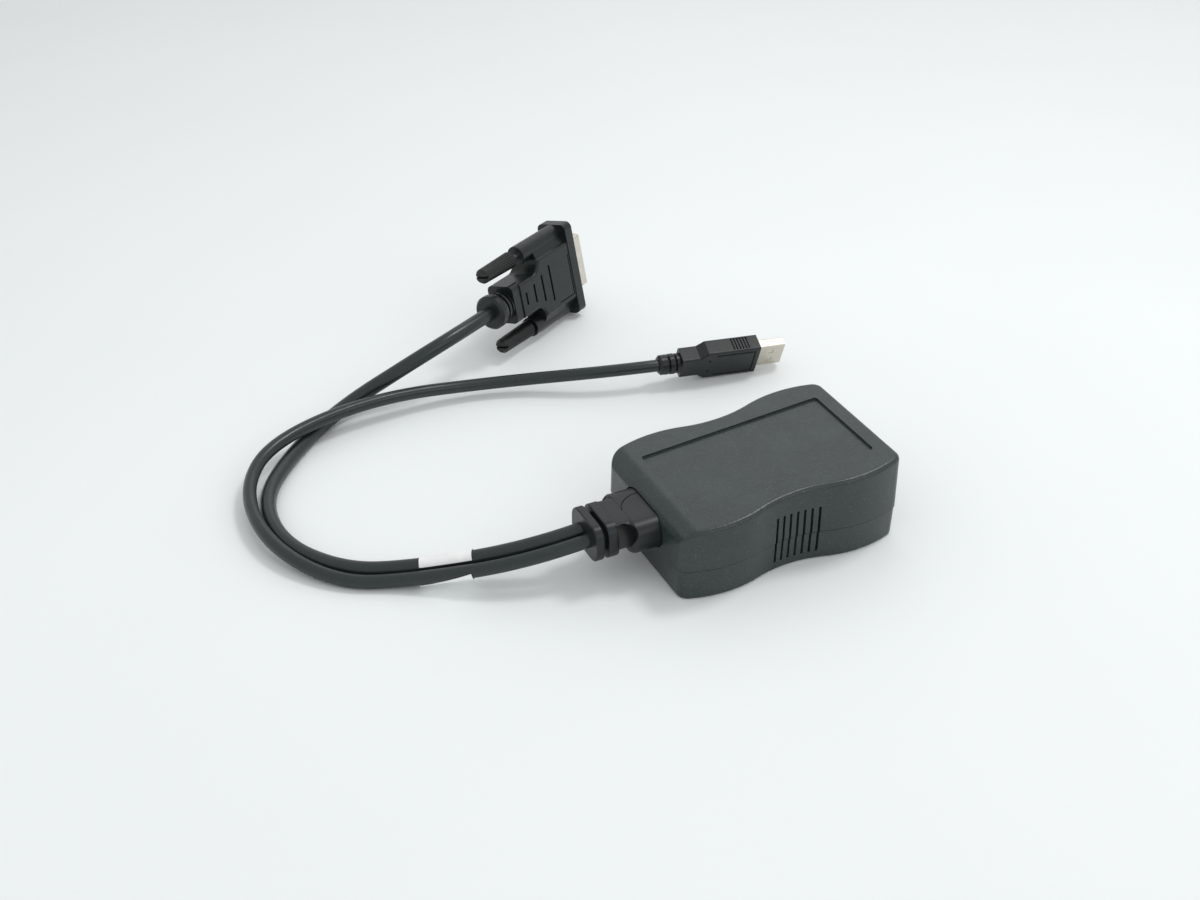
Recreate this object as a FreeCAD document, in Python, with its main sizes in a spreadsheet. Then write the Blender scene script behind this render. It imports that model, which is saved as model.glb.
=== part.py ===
# Video and USB dongle for a keyboard, video and mouse switch.
# A waisted two-part housing with a network socket at one end and a double
# cable boot at the other. Two cords run from the boot to a DVI plug and a
# USB plug. Lengths are in millimetres, the origin is the middle of the base,
# +X points at the socket end and +Z points up.
import FreeCAD
import Part
import Sketcher
import math
import os
import re

V = FreeCAD.Vector
doc = FreeCAD.newDocument("kvm_dongle")

# ---------------------------------------------------------------- size sheet
sheet = doc.addObject("Spreadsheet::Sheet", "Sizes")
SIZES = [
    ("housing_length", "90", "length of the cover over its flat ends"),
    ("bulge_width", "63", "widest place of the plan"),
    ("waist_width", "55", "narrowest place of the plan"),
    ("bulge_place", "27", "widest place, from the middle"),
    ("bulge_radius", "45", "plan radius of the swelling"),
    ("plan_corner", "4.5", "plan radius of the end corners"),
    ("cord_end_height", "29", "height at the cord end"),
    ("socket_end_height", "34.8", "height at the socket end"),
    ("seam_height", "12.6", "height of the line between the covers"),
    ("draft", "1.2", "wall draft in degrees"),
    ("wall", "2.3", "wall thickness"),
    ("top_round", "1.9", "rounding of the top edge"),
    ("near_round", "6", "broad rounding of the top over the cord end"),
    ("base_round", "1.2", "rounding of the base edge"),
    ("seam_step", "0.3", "how far the base stands in at the seam"),
    ("seam_bevel", "0.4", "bevel along the upper edge of the base"),
    ("floor", "2.4", "floor thickness of the base"),
    ("roof", "2.6", "least roof thickness"),
    ("panel_near", "8.5", "from the cord end to the label recess"),
    ("panel_far", "6.6", "from the socket end to the label recess"),
    ("panel_width", "38.8", "label recess width"),
    ("panel_depth", "0.9", "label recess depth"),
    ("grip_count", "7", "grip grooves a side"),
    ("grip_pitch", "2.85", "spacing of the grip grooves"),
    ("grip_middle", "2", "middle of the grip grooves"),
    ("grip_width", "0.95", "width of a grip groove"),
    ("grip_depth", "0.9", "depth of a grip groove at the waist"),
    ("grip_low", "3.6", "lower end of the grip grooves"),
    ("grip_high", "23.4", "upper end of the grip grooves"),
    ("screw_inset", "11.5", "case screws, from each end"),
    ("screw_y", "19.5", "case screws, across"),
    ("screw_shank", "2.4", "case screw shank diameter"),
    ("screw_head", "5", "case screw head diameter"),
    ("screw_head_height", "1.7", "case screw head height"),
    ("screw_length", "12", "case screw shank length"),
    ("sink_depth", "2", "depth of the sunk hole for a head"),
    ("post_size", "7", "diameter of posts and bosses"),
    ("board_inset", "6", "circuit board, from each end"),
    ("board_width", "46", "circuit board width"),
    ("board_thick", "1.6", "circuit board thickness"),
    ("board_top", "9", "upper face of the circuit board"),
    ("jack_width", "15.9", "network socket width"),
    ("jack_height", "13.2", "network socket height"),
    ("jack_length", "21", "network socket length"),
    ("jack_reach", "0.5", "how far the socket stands out"),
    ("jack_skin", "0.3", "sheet thickness of the socket shield"),
    ("port_width", "11.8", "network port width"),
    ("port_height", "7.2", "network port height"),
    ("port_depth", "13", "network port depth"),
    ("latch_width", "6.2", "latch slot width"),
    ("latch_height", "1.9", "latch slot height"),
    ("boot_width", "28", "boot block width"),
    ("boot_height", "13", "boot block height"),
    ("boot_lift", "5.6", "height of the boot axis over the seam"),
    ("boot_room", "0.35", "gap between the boot block and its opening"),
    ("boot_block", "11.2", "how far the boot block stands out"),
    ("boot_waist", "4", "length of the waist behind the block"),
    ("boot_neck", "3.8", "thickness of the first boot rib"),
    ("boot_slot", "1.6", "width of the slot between the ribs"),
    ("boot_rib", "3.2", "thickness of the last boot rib"),
    ("waist_step", "2.8", "how far the boot waist stands in from the block"),
    ("rib_round", "0.5", "rounding of the rib edges"),
    ("rib_width", "20.8", "width of the boot ribs"),
    ("rib_height", "14.6", "height of the boot ribs"),
    ("eye_length", "6.6", "length of the side eyes of the boot"),
    ("eye_depth", "6.4", "depth of the side eyes of the boot"),
    ("usb_cord_size", "5.2", "USB cord diameter"),
    ("video_cord_size", "6.2", "video cord diameter"),
    ("pair_gap", "6", "spacing of the two cords"),
    ("tag_start", "11", "start of the tag past the first bend of the USB cord"),
    ("tag_length", "21", "length of the tag along the cords"),
    ("tag_skin", "0.4", "thickness of the tag"),
    ("flange_width", "42", "DVI plug flange, long way"),
    ("flange_depth", "15", "DVI plug flange, short way"),
    ("flange_thick", "5", "DVI plug flange thickness"),
    ("dvi_screw_gap", "33.3", "spacing of the two plug screws"),
    ("hood_depth", "14.4", "DVI hood, short way"),
    ("hood_length", "43", "DVI hood length with its flange"),
    ("hood_straight", "28", "wide part of the DVI hood"),
    ("hood_end", "15.6", "DVI hood width at the cord end"),
    ("hood_step", "5", "hollow rounding behind the wide part"),
    ("hood_block", "5", "end block length of the DVI hood"),
    ("dvi_boot_size", "15", "DVI plug boot diameter"),
    ("dvi_boot_length", "10", "DVI plug boot length"),
    ("barrel_size", "8.6", "screw barrel diameter"),
    ("barrel_length", "33", "screw barrel length"),
    ("knob_size", "7.4", "thumbscrew knob diameter"),
    ("knob_length", "21.5", "thumbscrew knob length"),
    ("knob_gap", "0.8", "shank seen between knob and barrel"),
    ("shank_size", "2.84", "thumbscrew shank diameter"),
    ("shank_room", "0.16", "play of the shank in its bore, on the diameter"),
    ("shell_width", "24", "DVI shell, long way"),
    ("shell_depth", "8.4", "DVI shell, short way"),
    ("shell_reach", "8.5", "how far the DVI shell stands out"),
    ("usb_width", "15.6", "USB overmould width"),
    ("usb_thick", "8", "USB overmould thickness"),
    ("usb_wide_part", "23.5", "wide part of the USB overmould"),
    ("usb_length", "34.7", "USB overmould length"),
    ("usb_rear_width", "10.6", "USB overmould width at the rear"),
    ("usb_boot_size", "9.4", "USB boot diameter"),
    ("usb_boot_length", "9.3", "USB boot length"),
    ("usb_shell_width", "12", "USB shell width"),
    ("usb_shell_thick", "4.5", "USB shell thickness"),
    ("usb_shell_reach", "12", "how far the USB shell stands out"),
    ("usb_skin", "0.35", "USB shell sheet thickness"),
]
sheet.set("A1", "size")
sheet.set("B1", "value")
sheet.set("C1", "what it is")
for row, (word, number, note) in enumerate(SIZES, start=2):
    sheet.set("A%d" % row, word)
    sheet.set("B%d" % row, number)
    sheet.set("C%d" % row, note)
    sheet.setAlias("B%d" % row, word)
doc.recompute()
WORDS = set(word for word, number, note in SIZES)


def link(text):
    """Name the sheet before each size word of an expression."""
    return re.sub(r"[a-z][a-z_0-9]+", lambda m: "Sizes." + m.group(0) if m.group(0) in WORDS else m.group(0), text)


def val(text):
    """The number that an expression over the size sheet gives."""
    if isinstance(text, (int, float)):
        return float(text)
    return float(holder.evalExpression(link(text)))


def bind(thing, path, text):
    """Tie a property to the size sheet."""
    if isinstance(text, str):
        thing.setExpression(path, link(text))
    else:
        thing.setExpression(path, repr(float(text)))


holder = doc.addObject("App::FeaturePython", "Holder")
nodes = []


# ------------------------------------------------------------------- helpers
def body(label):
    """A new named body that will be written out."""
    b = doc.addObject("PartDesign::Body", label)
    b.Label = label
    nodes.append(b)
    return b


def sketch(b, name, role="XY_Plane", lift=0):
    """A sketch on one of the body's own planes, lifted along its normal."""
    s = b.newObject("Sketcher::SketchObject", b.Name + "_" + name)
    plane = [o for o in b.Origin.OriginFeatures if o.Role == role][0]
    s.AttachmentSupport = [(plane, "")]
    s.MapMode = "FlatFace"
    if lift != 0:
        bind(s, "AttachmentOffset.Base.z", lift)
    return s


def fix(s, kind, geo, point, text):
    """Hold a point's distance from the origin along one axis."""
    n = s.addConstraint(Sketcher.Constraint(kind, -1, 1, geo, point, val(text)))
    if isinstance(text, str):
        s.setExpression("Constraints[%d]" % n, link(text))


def size(s, kind, geo, text):
    """Hold a radius or a diameter."""
    n = s.addConstraint(Sketcher.Constraint(kind, geo, val(text)))
    if isinstance(text, str):
        s.setExpression("Constraints[%d]" % n, link(text))


def polygon(s, points):
    """A closed outline of straight lines through points held by the sheet."""
    first = s.GeometryCount
    spots = [V(val(x), val(y), 0) for x, y in points]
    count = len(spots)
    for i in range(count):
        s.addGeometry(Part.LineSegment(spots[i], spots[(i + 1) % count]), False)
    for i in range(count):
        s.addConstraint(Sketcher.Constraint("Coincident", first + i, 2, first + (i + 1) % count, 1))
    for i, (x, y) in enumerate(points):
        fix(s, "DistanceX", first + i, 1, x)
        fix(s, "DistanceY", first + i, 1, y)


def box(s, x0, x1, y0, y1):
    """A rectangle between two places along each axis."""
    polygon(s, [(x0, y0), (x1, y0), (x1, y1), (x0, y1)])


def circle(s, x, y, diameter):
    """A circle held by its middle and its diameter."""
    n = s.addGeometry(Part.Circle(V(val(x), val(y), 0), V(0, 0, 1), val(diameter) / 2), False)
    fix(s, "DistanceX", n, 3, x)
    fix(s, "DistanceY", n, 3, y)
    size(s, "Diameter", n, diameter)


def loop(s, parts):
    """Join lines and arcs end to end, tangent at each join."""
    first = s.GeometryCount
    for shape, way in parts:
        s.addGeometry(shape, False)
    count = len(parts)
    for i in range(count):
        j = (i + 1) % count
        here = 2 if parts[i][1] > 0 else 1
        there = 1 if parts[j][1] > 0 else 2
        s.addConstraint(Sketcher.Constraint("Tangent", first + i, here, first + j, there))
    return first


def arc(x, y, radius, start, end):
    """An arc that runs anticlockwise between two angles."""
    while end < start:
        end += 2 * math.pi
    ring = Part.Circle(V(x, y, 0), V(0, 0, 1), radius)
    return Part.ArcOfCircle(ring, start, end)


def rounded(s, x0, x1, y0, y1, r):
    """A rectangle with round corners."""
    a, b, c, d, q = val(x0), val(x1), val(y0), val(y1), val(r)
    h = math.pi / 2
    parts = [
        (Part.LineSegment(V(a + q, c, 0), V(b - q, c, 0)), 1),
        (arc(b - q, c + q, q, -h, 0), 1),
        (Part.LineSegment(V(b, c + q, 0), V(b, d - q, 0)), 1),
        (arc(b - q, d - q, q, 0, h), 1),
        (Part.LineSegment(V(b - q, d, 0), V(a + q, d, 0)), 1),
        (arc(a + q, d - q, q, h, 2 * h), 1),
        (Part.LineSegment(V(a, d - q, 0), V(a, c + q, 0)), 1),
        (arc(a + q, c + q, q, 2 * h, 3 * h), 1),
    ]
    n = loop(s, parts)
    s.addConstraint(Sketcher.Constraint("Horizontal", n))
    s.addConstraint(Sketcher.Constraint("Vertical", n + 2))
    s.addConstraint(Sketcher.Constraint("Horizontal", n + 4))
    s.addConstraint(Sketcher.Constraint("Vertical", n + 6))
    fix(s, "DistanceY", n, 1, y0)
    fix(s, "DistanceX", n + 2, 1, x1)
    fix(s, "DistanceY", n + 4, 1, y1)
    fix(s, "DistanceX", n + 6, 1, x0)
    size(s, "Radius", n + 1, r)
    for k in (3, 5, 7):
        s.addConstraint(Sketcher.Constraint("Equal", n + 1, n + k))


def done(b, f):
    """Finish a feature and make it the tip of its body."""
    b.Tip = f
    doc.recompute()
    if f.Shape.isNull() or not f.Shape.isValid():
        raise ValueError("the feature %s of %s failed" % (f.Name, b.Label))
    return f


def pad(b, name, s, length, taper=0, back=False, both=False):
    """Add material over a sketch."""
    f = b.newObject("PartDesign::Pad", b.Name + "_" + name)
    f.Profile = s
    bind(f, "Length", length)
    if taper != 0:
        bind(f, "TaperAngle", taper)
    f.Reversed = back
    f.Midplane = both
    s.Visibility = False
    return done(b, f)


def pocket(b, name, s, length, back=False, both=False):
    """Cut a sketch into the body, turning the cut round if it missed."""
    before = b.Tip.Shape.Volume
    f = b.newObject("PartDesign::Pocket", b.Name + "_" + name)
    f.Profile = s
    bind(f, "Length", length)
    f.Reversed = back
    f.Midplane = both
    s.Visibility = False
    done(b, f)
    if f.Shape.Volume > before - 1e-6 and not both:
        f.Reversed = not back
        done(b, f)
    if f.Shape.Volume > before - 1e-6:
        raise ValueError("the cut %s of %s removes nothing" % (f.Name, b.Label))
    return f


def turn(b, name, s, axis, cut=False):
    """Revolve a sketch round one of its own axes."""
    kind = "PartDesign::Groove" if cut else "PartDesign::Revolution"
    f = b.newObject(kind, b.Name + "_" + name)
    f.Profile = s
    f.ReferenceAxis = (s, [axis])
    f.Angle = 360
    s.Visibility = False
    return done(b, f)


def edges(b, test):
    """Names of the edges of the tip that pass a test."""
    shape = b.Tip.Shape
    return ["Edge%d" % (i + 1) for i, e in enumerate(shape.Edges) if test(e)]


def creases(b, test):
    """Names of the edges that pass a test and where two faces meet at an angle."""
    shape = b.Tip.Shape
    out = []
    for i, e in enumerate(shape.Edges):
        if not test(e):
            continue
        spot = e.valueAt((e.FirstParameter + e.LastParameter) / 2)
        normals = []
        for face in shape.ancestorsOfType(e, Part.Face):
            u, v = face.Surface.parameter(spot)
            normals.append(face.normalAt(u, v))
        if len(normals) == 2 and normals[0].getAngle(normals[1]) > 0.1:
            out.append("Edge%d" % (i + 1))
    return out


def fillet(b, name, names, radius, kind="PartDesign::Fillet"):
    """Round or bevel edges of the tip."""
    base = b.Tip
    f = b.newObject(kind, b.Name + "_" + name)
    f.Base = (base, names)
    bind(f, "Radius" if kind.endswith("Fillet") else "Size", radius)
    return done(b, f)


def row(b, name, source, pitch, count, axis="X_Axis"):
    """Repeat a feature along one of the body's axes."""
    f = b.newObject("PartDesign::LinearPattern", b.Name + "_" + name)
    f.Originals = [source]
    line = [o for o in b.Origin.OriginFeatures if o.Role == axis][0]
    f.Direction = (line, [""])
    bind(f, "Occurrences", count)
    bind(f, "Length", "%s * (%s - 1)" % (pitch, count))
    return done(b, f)


# ----------------------------------------------------------- housing outline
def outline(s, grow):
    """The waisted plan, let out or drawn in all round by one amount."""
    g = val(grow)
    end = val("housing_length / 2") + g
    xb = val("bulge_place")
    rb = val("bulge_radius") + g
    yb = val("bulge_width / 2 - bulge_radius")
    step = val("(bulge_width - waist_width) / 2")
    reach = (step * step + xb * xb) / (2 * step)
    rw = reach - val("bulge_radius") - g
    yw = val("waist_width / 2") + reach - val("bulge_radius")
    rc = max(val("plan_corner") + g, 0.5)
    cx = end - rc
    cy = yb + math.sqrt((rb - rc) ** 2 - (cx - xb) ** 2)
    lean = math.atan2(cy - yb, cx - xb)
    pass_on = math.atan2(yw - yb, -xb)
    side = math.atan2(yb - yw, xb)
    full = math.pi
    parts = [
        (Part.LineSegment(V(end, -cy, 0), V(end, cy, 0)), 1),
        (arc(cx, cy, rc, 0, lean), 1),
        (arc(xb, yb, rb, lean, pass_on), 1),
        (arc(0, yw, rw, -full - side, side), -1),
        (arc(-xb, yb, rb, full - pass_on, full - lean), 1),
        (arc(-cx, cy, rc, full - lean, full), 1),
        (Part.LineSegment(V(-end, cy, 0), V(-end, -cy, 0)), 1),
        (arc(-cx, -cy, rc, full, full + lean), 1),
        (arc(-xb, -yb, rb, full + lean, full + pass_on), 1),
        (arc(0, -yw, rw, -side, full + side), -1),
        (arc(xb, -yb, rb, -pass_on, -lean), 1),
        (arc(cx, -cy, rc, -lean, 0), 1),
    ]
    n = loop(s, parts)
    word = "(%s)" % grow if isinstance(grow, str) else "%g" % grow
    s.addConstraint(Sketcher.Constraint("Vertical", n))
    s.addConstraint(Sketcher.Constraint("Vertical", n + 6))
    fix(s, "DistanceX", n, 1, "housing_length / 2 + " + word)
    fix(s, "DistanceX", n + 6, 1, "-(housing_length / 2 + %s)" % word)
    for k in (1, 5, 7, 11):
        size(s, "Radius", n + k, rc if rc == 0.5 else "plan_corner + " + word)
    for k, place in ((4, -1), (8, 1)):
        size(s, "Radius", n + k, "bulge_radius + " + word)
        fix(s, "DistanceX", n + k, 3, "-bulge_place")
        fix(s, "DistanceY", n + k, 3, "(bulge_width / 2 - bulge_radius) * %d" % -place)
    wide = "((bulge_width - waist_width) / 2)"
    arm = "((%s * %s + bulge_place * bulge_place) / (2 * %s) - bulge_radius - %s)" % (wide, wide, wide, word)
    for k in (3, 9):
        fix(s, "DistanceX", n + k, 3, 0)
        size(s, "Radius", n + k, arm)
    for k in (2, 10):
        fix(s, "DistanceX", n + k, 3, "bulge_place")
        size(s, "Radius", n + k, "bulge_radius + " + word)


SLOPE = "(socket_end_height - cord_end_height) / housing_length"
MIDDLE = "(socket_end_height + cord_end_height) / 2"
SCREW_X = "(housing_length / 2 - screw_inset)"
BOARD_END = "(housing_length / 2 - board_inset)"
BOOT_AXIS = "(seam_height + boot_lift)"
BOOT_CORNER = "(boot_height / 2 - 0.3)"
LIFT_OUT = "tan(draft) * (%s - seam_height)" % MIDDLE


def grip(b, low, high):
    """The row of upright grip grooves on both sides of a cover."""
    for name, sign, back in (("front", 1, False), ("back", -1, True)):
        s = sketch(b, "grip_" + name, "XZ_Plane", "(waist_width / 2 - grip_depth) * %d" % sign)
        start = "grip_middle - grip_pitch * (grip_count - 1) / 2"
        box(s, start + " - grip_width / 2", start + " + grip_width / 2", low, high)
        cut = pocket(b, "grip_cut_" + name, s, 10, back=not back)
        row(b, "grip_row_" + name, cut, "grip_pitch", "grip_count")


def boot_outline(s, grow):
    """The round-sided outline of the boot block, let out all round."""
    half = "(boot_height / 2 + %s)" % grow
    side = "(boot_width / 2 + %s)" % grow
    rounded(s, "-" + side, side, BOOT_AXIS + " - " + half, BOOT_AXIS + " + " + half, BOOT_CORNER + " + " + grow)


# ----------------------------------------------------------------- top cover
top = body("top_cover")
s = sketch(top, "plan", "XY_Plane", "seam_height")
outline(s, LIFT_OUT)
pad(top, "block", s, "socket_end_height - seam_height + 4", "-draft")
s = sketch(top, "slope", "XZ_Plane")
far = "(housing_length / 2 + 8)"
begin = "(-housing_length / 2 + near_round)"
end_x, end_z = val(far), val("%s + %s * %s" % (MIDDLE, SLOPE, far))
begin_x, begin_z = val(begin), val("%s + %s * %s" % (MIDDLE, SLOPE, begin))
foot_z = val("cord_end_height - near_round * 3.5")
lean = math.atan(val(SLOPE))
big = val("near_round")
mid_x = begin_x + big * math.sin(lean)
mid_z = begin_z - big * math.cos(lean)
away = math.hypot(-end_x - mid_x, foot_z - mid_z)
stop = math.atan2(foot_z - mid_z, -end_x - mid_x) + 2 * math.pi - math.acos(big / away)
stop_x = mid_x + big * math.cos(stop)
stop_z = mid_z + big * math.sin(stop)
over = val("socket_end_height") + 20
s.addGeometry(Part.LineSegment(V(end_x, end_z, 0), V(begin_x, begin_z, 0)), False)
s.addGeometry(arc(mid_x, mid_z, big, math.pi / 2 + lean, stop), False)
s.addGeometry(Part.LineSegment(V(stop_x, stop_z, 0), V(-end_x, foot_z, 0)), False)
s.addGeometry(Part.LineSegment(V(-end_x, foot_z, 0), V(-end_x, over, 0)), False)
s.addGeometry(Part.LineSegment(V(-end_x, over, 0), V(end_x, over, 0)), False)
s.addGeometry(Part.LineSegment(V(end_x, over, 0), V(end_x, end_z, 0)), False)
s.addConstraint(Sketcher.Constraint("Tangent", 0, 2, 1, 1))
s.addConstraint(Sketcher.Constraint("Tangent", 1, 2, 2, 1))
for a, z in ((2, 3), (3, 4), (4, 5), (5, 0)):
    s.addConstraint(Sketcher.Constraint("Coincident", a, 2, z, 1))
fix(s, "DistanceX", 0, 1, far)
fix(s, "DistanceY", 0, 1, "%s + %s * %s" % (MIDDLE, SLOPE, far))
fix(s, "DistanceX", 0, 2, begin)
fix(s, "DistanceY", 0, 2, "%s + %s * %s" % (MIDDLE, SLOPE, begin))
size(s, "Radius", 1, "near_round")
fix(s, "DistanceX", 2, 2, "-" + far)
fix(s, "DistanceY", 2, 2, "cord_end_height - near_round * 3.5")
fix(s, "DistanceX", 3, 2, "-" + far)
fix(s, "DistanceY", 3, 2, "socket_end_height + 20")
fix(s, "DistanceX", 4, 2, far)
fix(s, "DistanceY", 4, 2, "socket_end_height + 20")
pocket(top, "slope_cut", s, 120, both=True)
lowest = val("cord_end_height - near_round * 1.2")
fillet(top, "top_round", creases(top, lambda e: e.BoundBox.ZMin > lowest), "top_round")
s = sketch(top, "room", "XY_Plane", "seam_height - 1")
outline(s, "-wall")
pocket(top, "room_cut", s, "cord_end_height - roof - seam_height + 1", back=True)
s = sketch(top, "far_room", "XY_Plane", "seam_height - 1")
box(s, "housing_length / 16", "housing_length / 2 - wall - plan_corner", "-waist_width / 2 + wall", "waist_width / 2 - wall")
pocket(top, "far_room_cut", s, "%s - roof - seam_height + 1" % MIDDLE, back=True)
for name, sx, ceiling in (("near", -1, "cord_end_height"), ("far", 1, MIDDLE)):
    s = sketch(top, "bosses_" + name, "XY_Plane", "board_top")
    for sy in (-1, 1):
        circle(s, SCREW_X + " * %d" % sx, "screw_y * %d" % sy, "post_size - 1")
    pad(top, "boss_" + name, s, ceiling + " - roof - board_top + 0.5")
s = sketch(top, "boss_bores", "XY_Plane", "board_top")
for sx in (-1, 1):
    for sy in (-1, 1):
        circle(s, SCREW_X + " * %d" % sx, "screw_y * %d" % sy, "screw_shank + 0.6")
pocket(top, "boss_bore", s, "screw_length - board_top + sink_depth + 1", back=True)
s = sketch(top, "jack_gate", "YZ_Plane", "housing_length / 2 - wall - 3")
box(s, "-jack_width / 2 - 0.1", "jack_width / 2 + 0.1", "seam_height - 2", "board_top + jack_height + 0.1")
pocket(top, "jack_gate_cut", s, "wall + 8", back=True)
s = sketch(top, "boot_gate", "YZ_Plane", "-housing_length / 2 - 4")
boot_outline(s, "boot_room")
pocket(top, "boot_gate_cut", s, "wall + 7", back=True)
s = sketch(top, "panel", "XY_Plane")
bind(s, "AttachmentOffset.Base.z", MIDDLE)
s.AttachmentOffset = FreeCAD.Placement(V(0, 0, val(MIDDLE)), FreeCAD.Rotation(V(0, 1, 0), -1))
bind(s, "AttachmentOffset.Rotation.Angle", "-atan(%s)" % SLOPE)
rounded(s, "-housing_length / 2 + panel_near", "housing_length / 2 - panel_far", "-panel_width / 2", "panel_width / 2", 1.2)
pocket(top, "panel_cut", s, "panel_depth")
grip(top, "seam_height - 3", "grip_high")

# -------------------------------------------------------------- bottom cover
base = body("bottom_cover")
s = sketch(base, "plan", "XY_Plane", "seam_height")
outline(s, LIFT_OUT + " - seam_step")
pad(base, "block", s, "seam_height", "-draft", back=True)
fillet(base, "base_round", edges(base, lambda e: e.BoundBox.ZMax < 0.01), "base_round")
rim = val("seam_height") - 0.01
fillet(base, "seam_bevel", edges(base, lambda e: e.BoundBox.ZMin > rim), "seam_bevel", "PartDesign::Chamfer")
s = sketch(base, "room", "XY_Plane", "floor")
outline(s, "-wall")
pocket(base, "room_cut", s, "seam_height", back=True)
s = sketch(base, "posts", "XY_Plane", "floor - 0.2")
for sx in (-1, 1):
    for sy in (-1, 1):
        circle(s, SCREW_X + " * %d" % sx, "screw_y * %d" % sy, "post_size")
pad(base, "post", s, "board_top - board_thick - floor + 0.2")
s = sketch(base, "holes", "XY_Plane")
for sx in (-1, 1):
    for sy in (-1, 1):
        circle(s, SCREW_X + " * %d" % sx, "screw_y * %d" % sy, "screw_shank + 0.6")
pocket(base, "hole", s, "board_top", back=True)
s = sketch(base, "sinks", "XY_Plane")
for sx in (-1, 1):
    for sy in (-1, 1):
        circle(s, SCREW_X + " * %d" % sx, "screw_y * %d" % sy, "screw_head + 0.6")
pocket(base, "sink", s, "sink_depth", back=True)
s = sketch(base, "jack_gate", "YZ_Plane", "housing_length / 2 - wall - 3")
box(s, "-jack_width / 2 - 0.1", "jack_width / 2 + 0.1", "board_top", "seam_height + 2")
pocket(base, "jack_gate_cut", s, "wall + 8", back=True)
s = sketch(base, "boot_gate", "YZ_Plane", "-housing_length / 2 - 4")
boot_outline(s, "boot_room")
pocket(base, "boot_gate_cut", s, "wall + 7", back=True)
grip(base, "grip_low", "seam_height + 2")

# --------------------------------------------------------------- case screws
for number, (sx, sy) in enumerate(((-1, -1), (-1, 1), (1, -1), (1, 1)), start=1):
    b = body("case_screw_%d" % number)
    s = sketch(b, "head", "XY_Plane", "sink_depth - screw_head_height")
    circle(s, 0, 0, "screw_head")
    pad(b, "head", s, "screw_head_height")
    s = sketch(b, "shank", "XY_Plane", "sink_depth")
    circle(s, 0, 0, "screw_shank")
    pad(b, "shank", s, "screw_length")
    s = sketch(b, "cross", "XY_Plane", "sink_depth - screw_head_height")
    arm = "screw_head / 3.4"
    tooth = "screw_head / 12"
    polygon(s, [
        ("-" + arm, "-" + tooth), ("-" + tooth, "-" + tooth), ("-" + tooth, "-" + arm),
        (tooth, "-" + arm), (tooth, "-" + tooth), (arm, "-" + tooth),
        (arm, tooth), (tooth, tooth), (tooth, arm),
        ("-" + tooth, arm), ("-" + tooth, tooth), ("-" + arm, tooth),
    ])
    pocket(b, "cross_cut", s, "screw_head_height * 0.6", back=True)
    bind(b, "Placement.Base.x", SCREW_X + " * %d" % sx)
    bind(b, "Placement.Base.y", "screw_y * %d" % sy)

# ------------------------------------------------------------- circuit board
board = body("circuit_board")
s = sketch(board, "plan", "XY_Plane", "board_top - board_thick")
rounded(s, "-" + BOARD_END, BOARD_END, "-board_width / 2", "board_width / 2", 2)
pad(board, "plate", s, "board_thick")
s = sketch(board, "holes", "XY_Plane", "board_top")
for sx in (-1, 1):
    for sy in (-1, 1):
        circle(s, SCREW_X + " * %d" % sx, "screw_y * %d" % sy, "screw_shank + 0.8")
pocket(board, "hole", s, "board_thick + 1")


def chip(label, x, y, wide, deep, tall):
    """A flat moulded chip on the board with a dot over its first leg."""
    b = body(label)
    s = sketch(b, "plan")
    box(s, "-%s / 2" % wide, "%s / 2" % wide, "-%s / 2" % deep, "%s / 2" % deep)
    pad(b, "block", s, tall)
    s = sketch(b, "dot", "XY_Plane", tall)
    circle(s, "-%s / 2 + 1.8" % wide, "-%s / 2 + 1.8" % deep, 1)
    pocket(b, "dot_cut", s, 0.2)
    bind(b, "Placement.Base.x", x)
    bind(b, "Placement.Base.y", y)
    bind(b, "Placement.Base.z", "board_top")


chip("video_chip", BOARD_END + " * -0.32", 0, "board_width * 0.36", "board_width * 0.36", 1.4)
chip("line_filter", BOARD_END + " * 0.32", 0, "board_width * 0.2", "board_width * 0.32", 3.2)

# ------------------------------------------------------------ network socket
face = "housing_length / 2 + jack_reach"
shield = body("jack_shield")
s = sketch(shield, "section", "YZ_Plane", face)
box(s, "-jack_width / 2", "jack_width / 2", "board_top", "board_top + jack_height")
pad(shield, "block", s, "jack_length", back=True)
s = sketch(shield, "room", "YZ_Plane", face)
box(s, "-jack_width / 2 + jack_skin", "jack_width / 2 - jack_skin", "board_top + jack_skin", "board_top + jack_height - jack_skin")
pocket(shield, "room_cut", s, "jack_length - jack_skin")

insert = body("jack_insert")
s = sketch(insert, "section", "YZ_Plane", face + " - jack_skin")
box(s, "-jack_width / 2 + jack_skin", "jack_width / 2 - jack_skin", "board_top + jack_skin", "board_top + jack_height - jack_skin")
pad(insert, "block", s, "jack_length - 2 * jack_skin", back=True)
port_top = "board_top + jack_height - 1.7"
s = sketch(insert, "port", "YZ_Plane", face)
box(s, "-port_width / 2", "port_width / 2", port_top + " - port_height", port_top)
pocket(insert, "port_cut", s, "port_depth + jack_skin")
s = sketch(insert, "latch", "YZ_Plane", face)
box(s, "-latch_width / 2", "latch_width / 2", port_top + " - port_height - latch_height", port_top + " - port_height + 0.5")
pocket(insert, "latch_cut", s, "port_depth + jack_skin")

wires = body("jack_contacts")
s = sketch(wires, "side", "XZ_Plane", "port_width * 0.3")
mouth = "(housing_length / 2 + jack_reach - jack_skin)"
polygon(s, [
    (mouth + " - port_depth", port_top + " - 2.6"),
    (mouth + " - 3", port_top + " - 0.3"),
    (mouth + " - 1.6", port_top + " - 0.3"),
    (mouth + " - 1.6", port_top),
    (mouth + " - 3.2", port_top),
    (mouth + " - port_depth", port_top + " - 2.3"),
])
pad(wires, "wire", s, 0.4, both=True)
row(wires, "wires", wires.Tip, "port_width * 0.6 / 7", "8", "Y_Axis")

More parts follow.
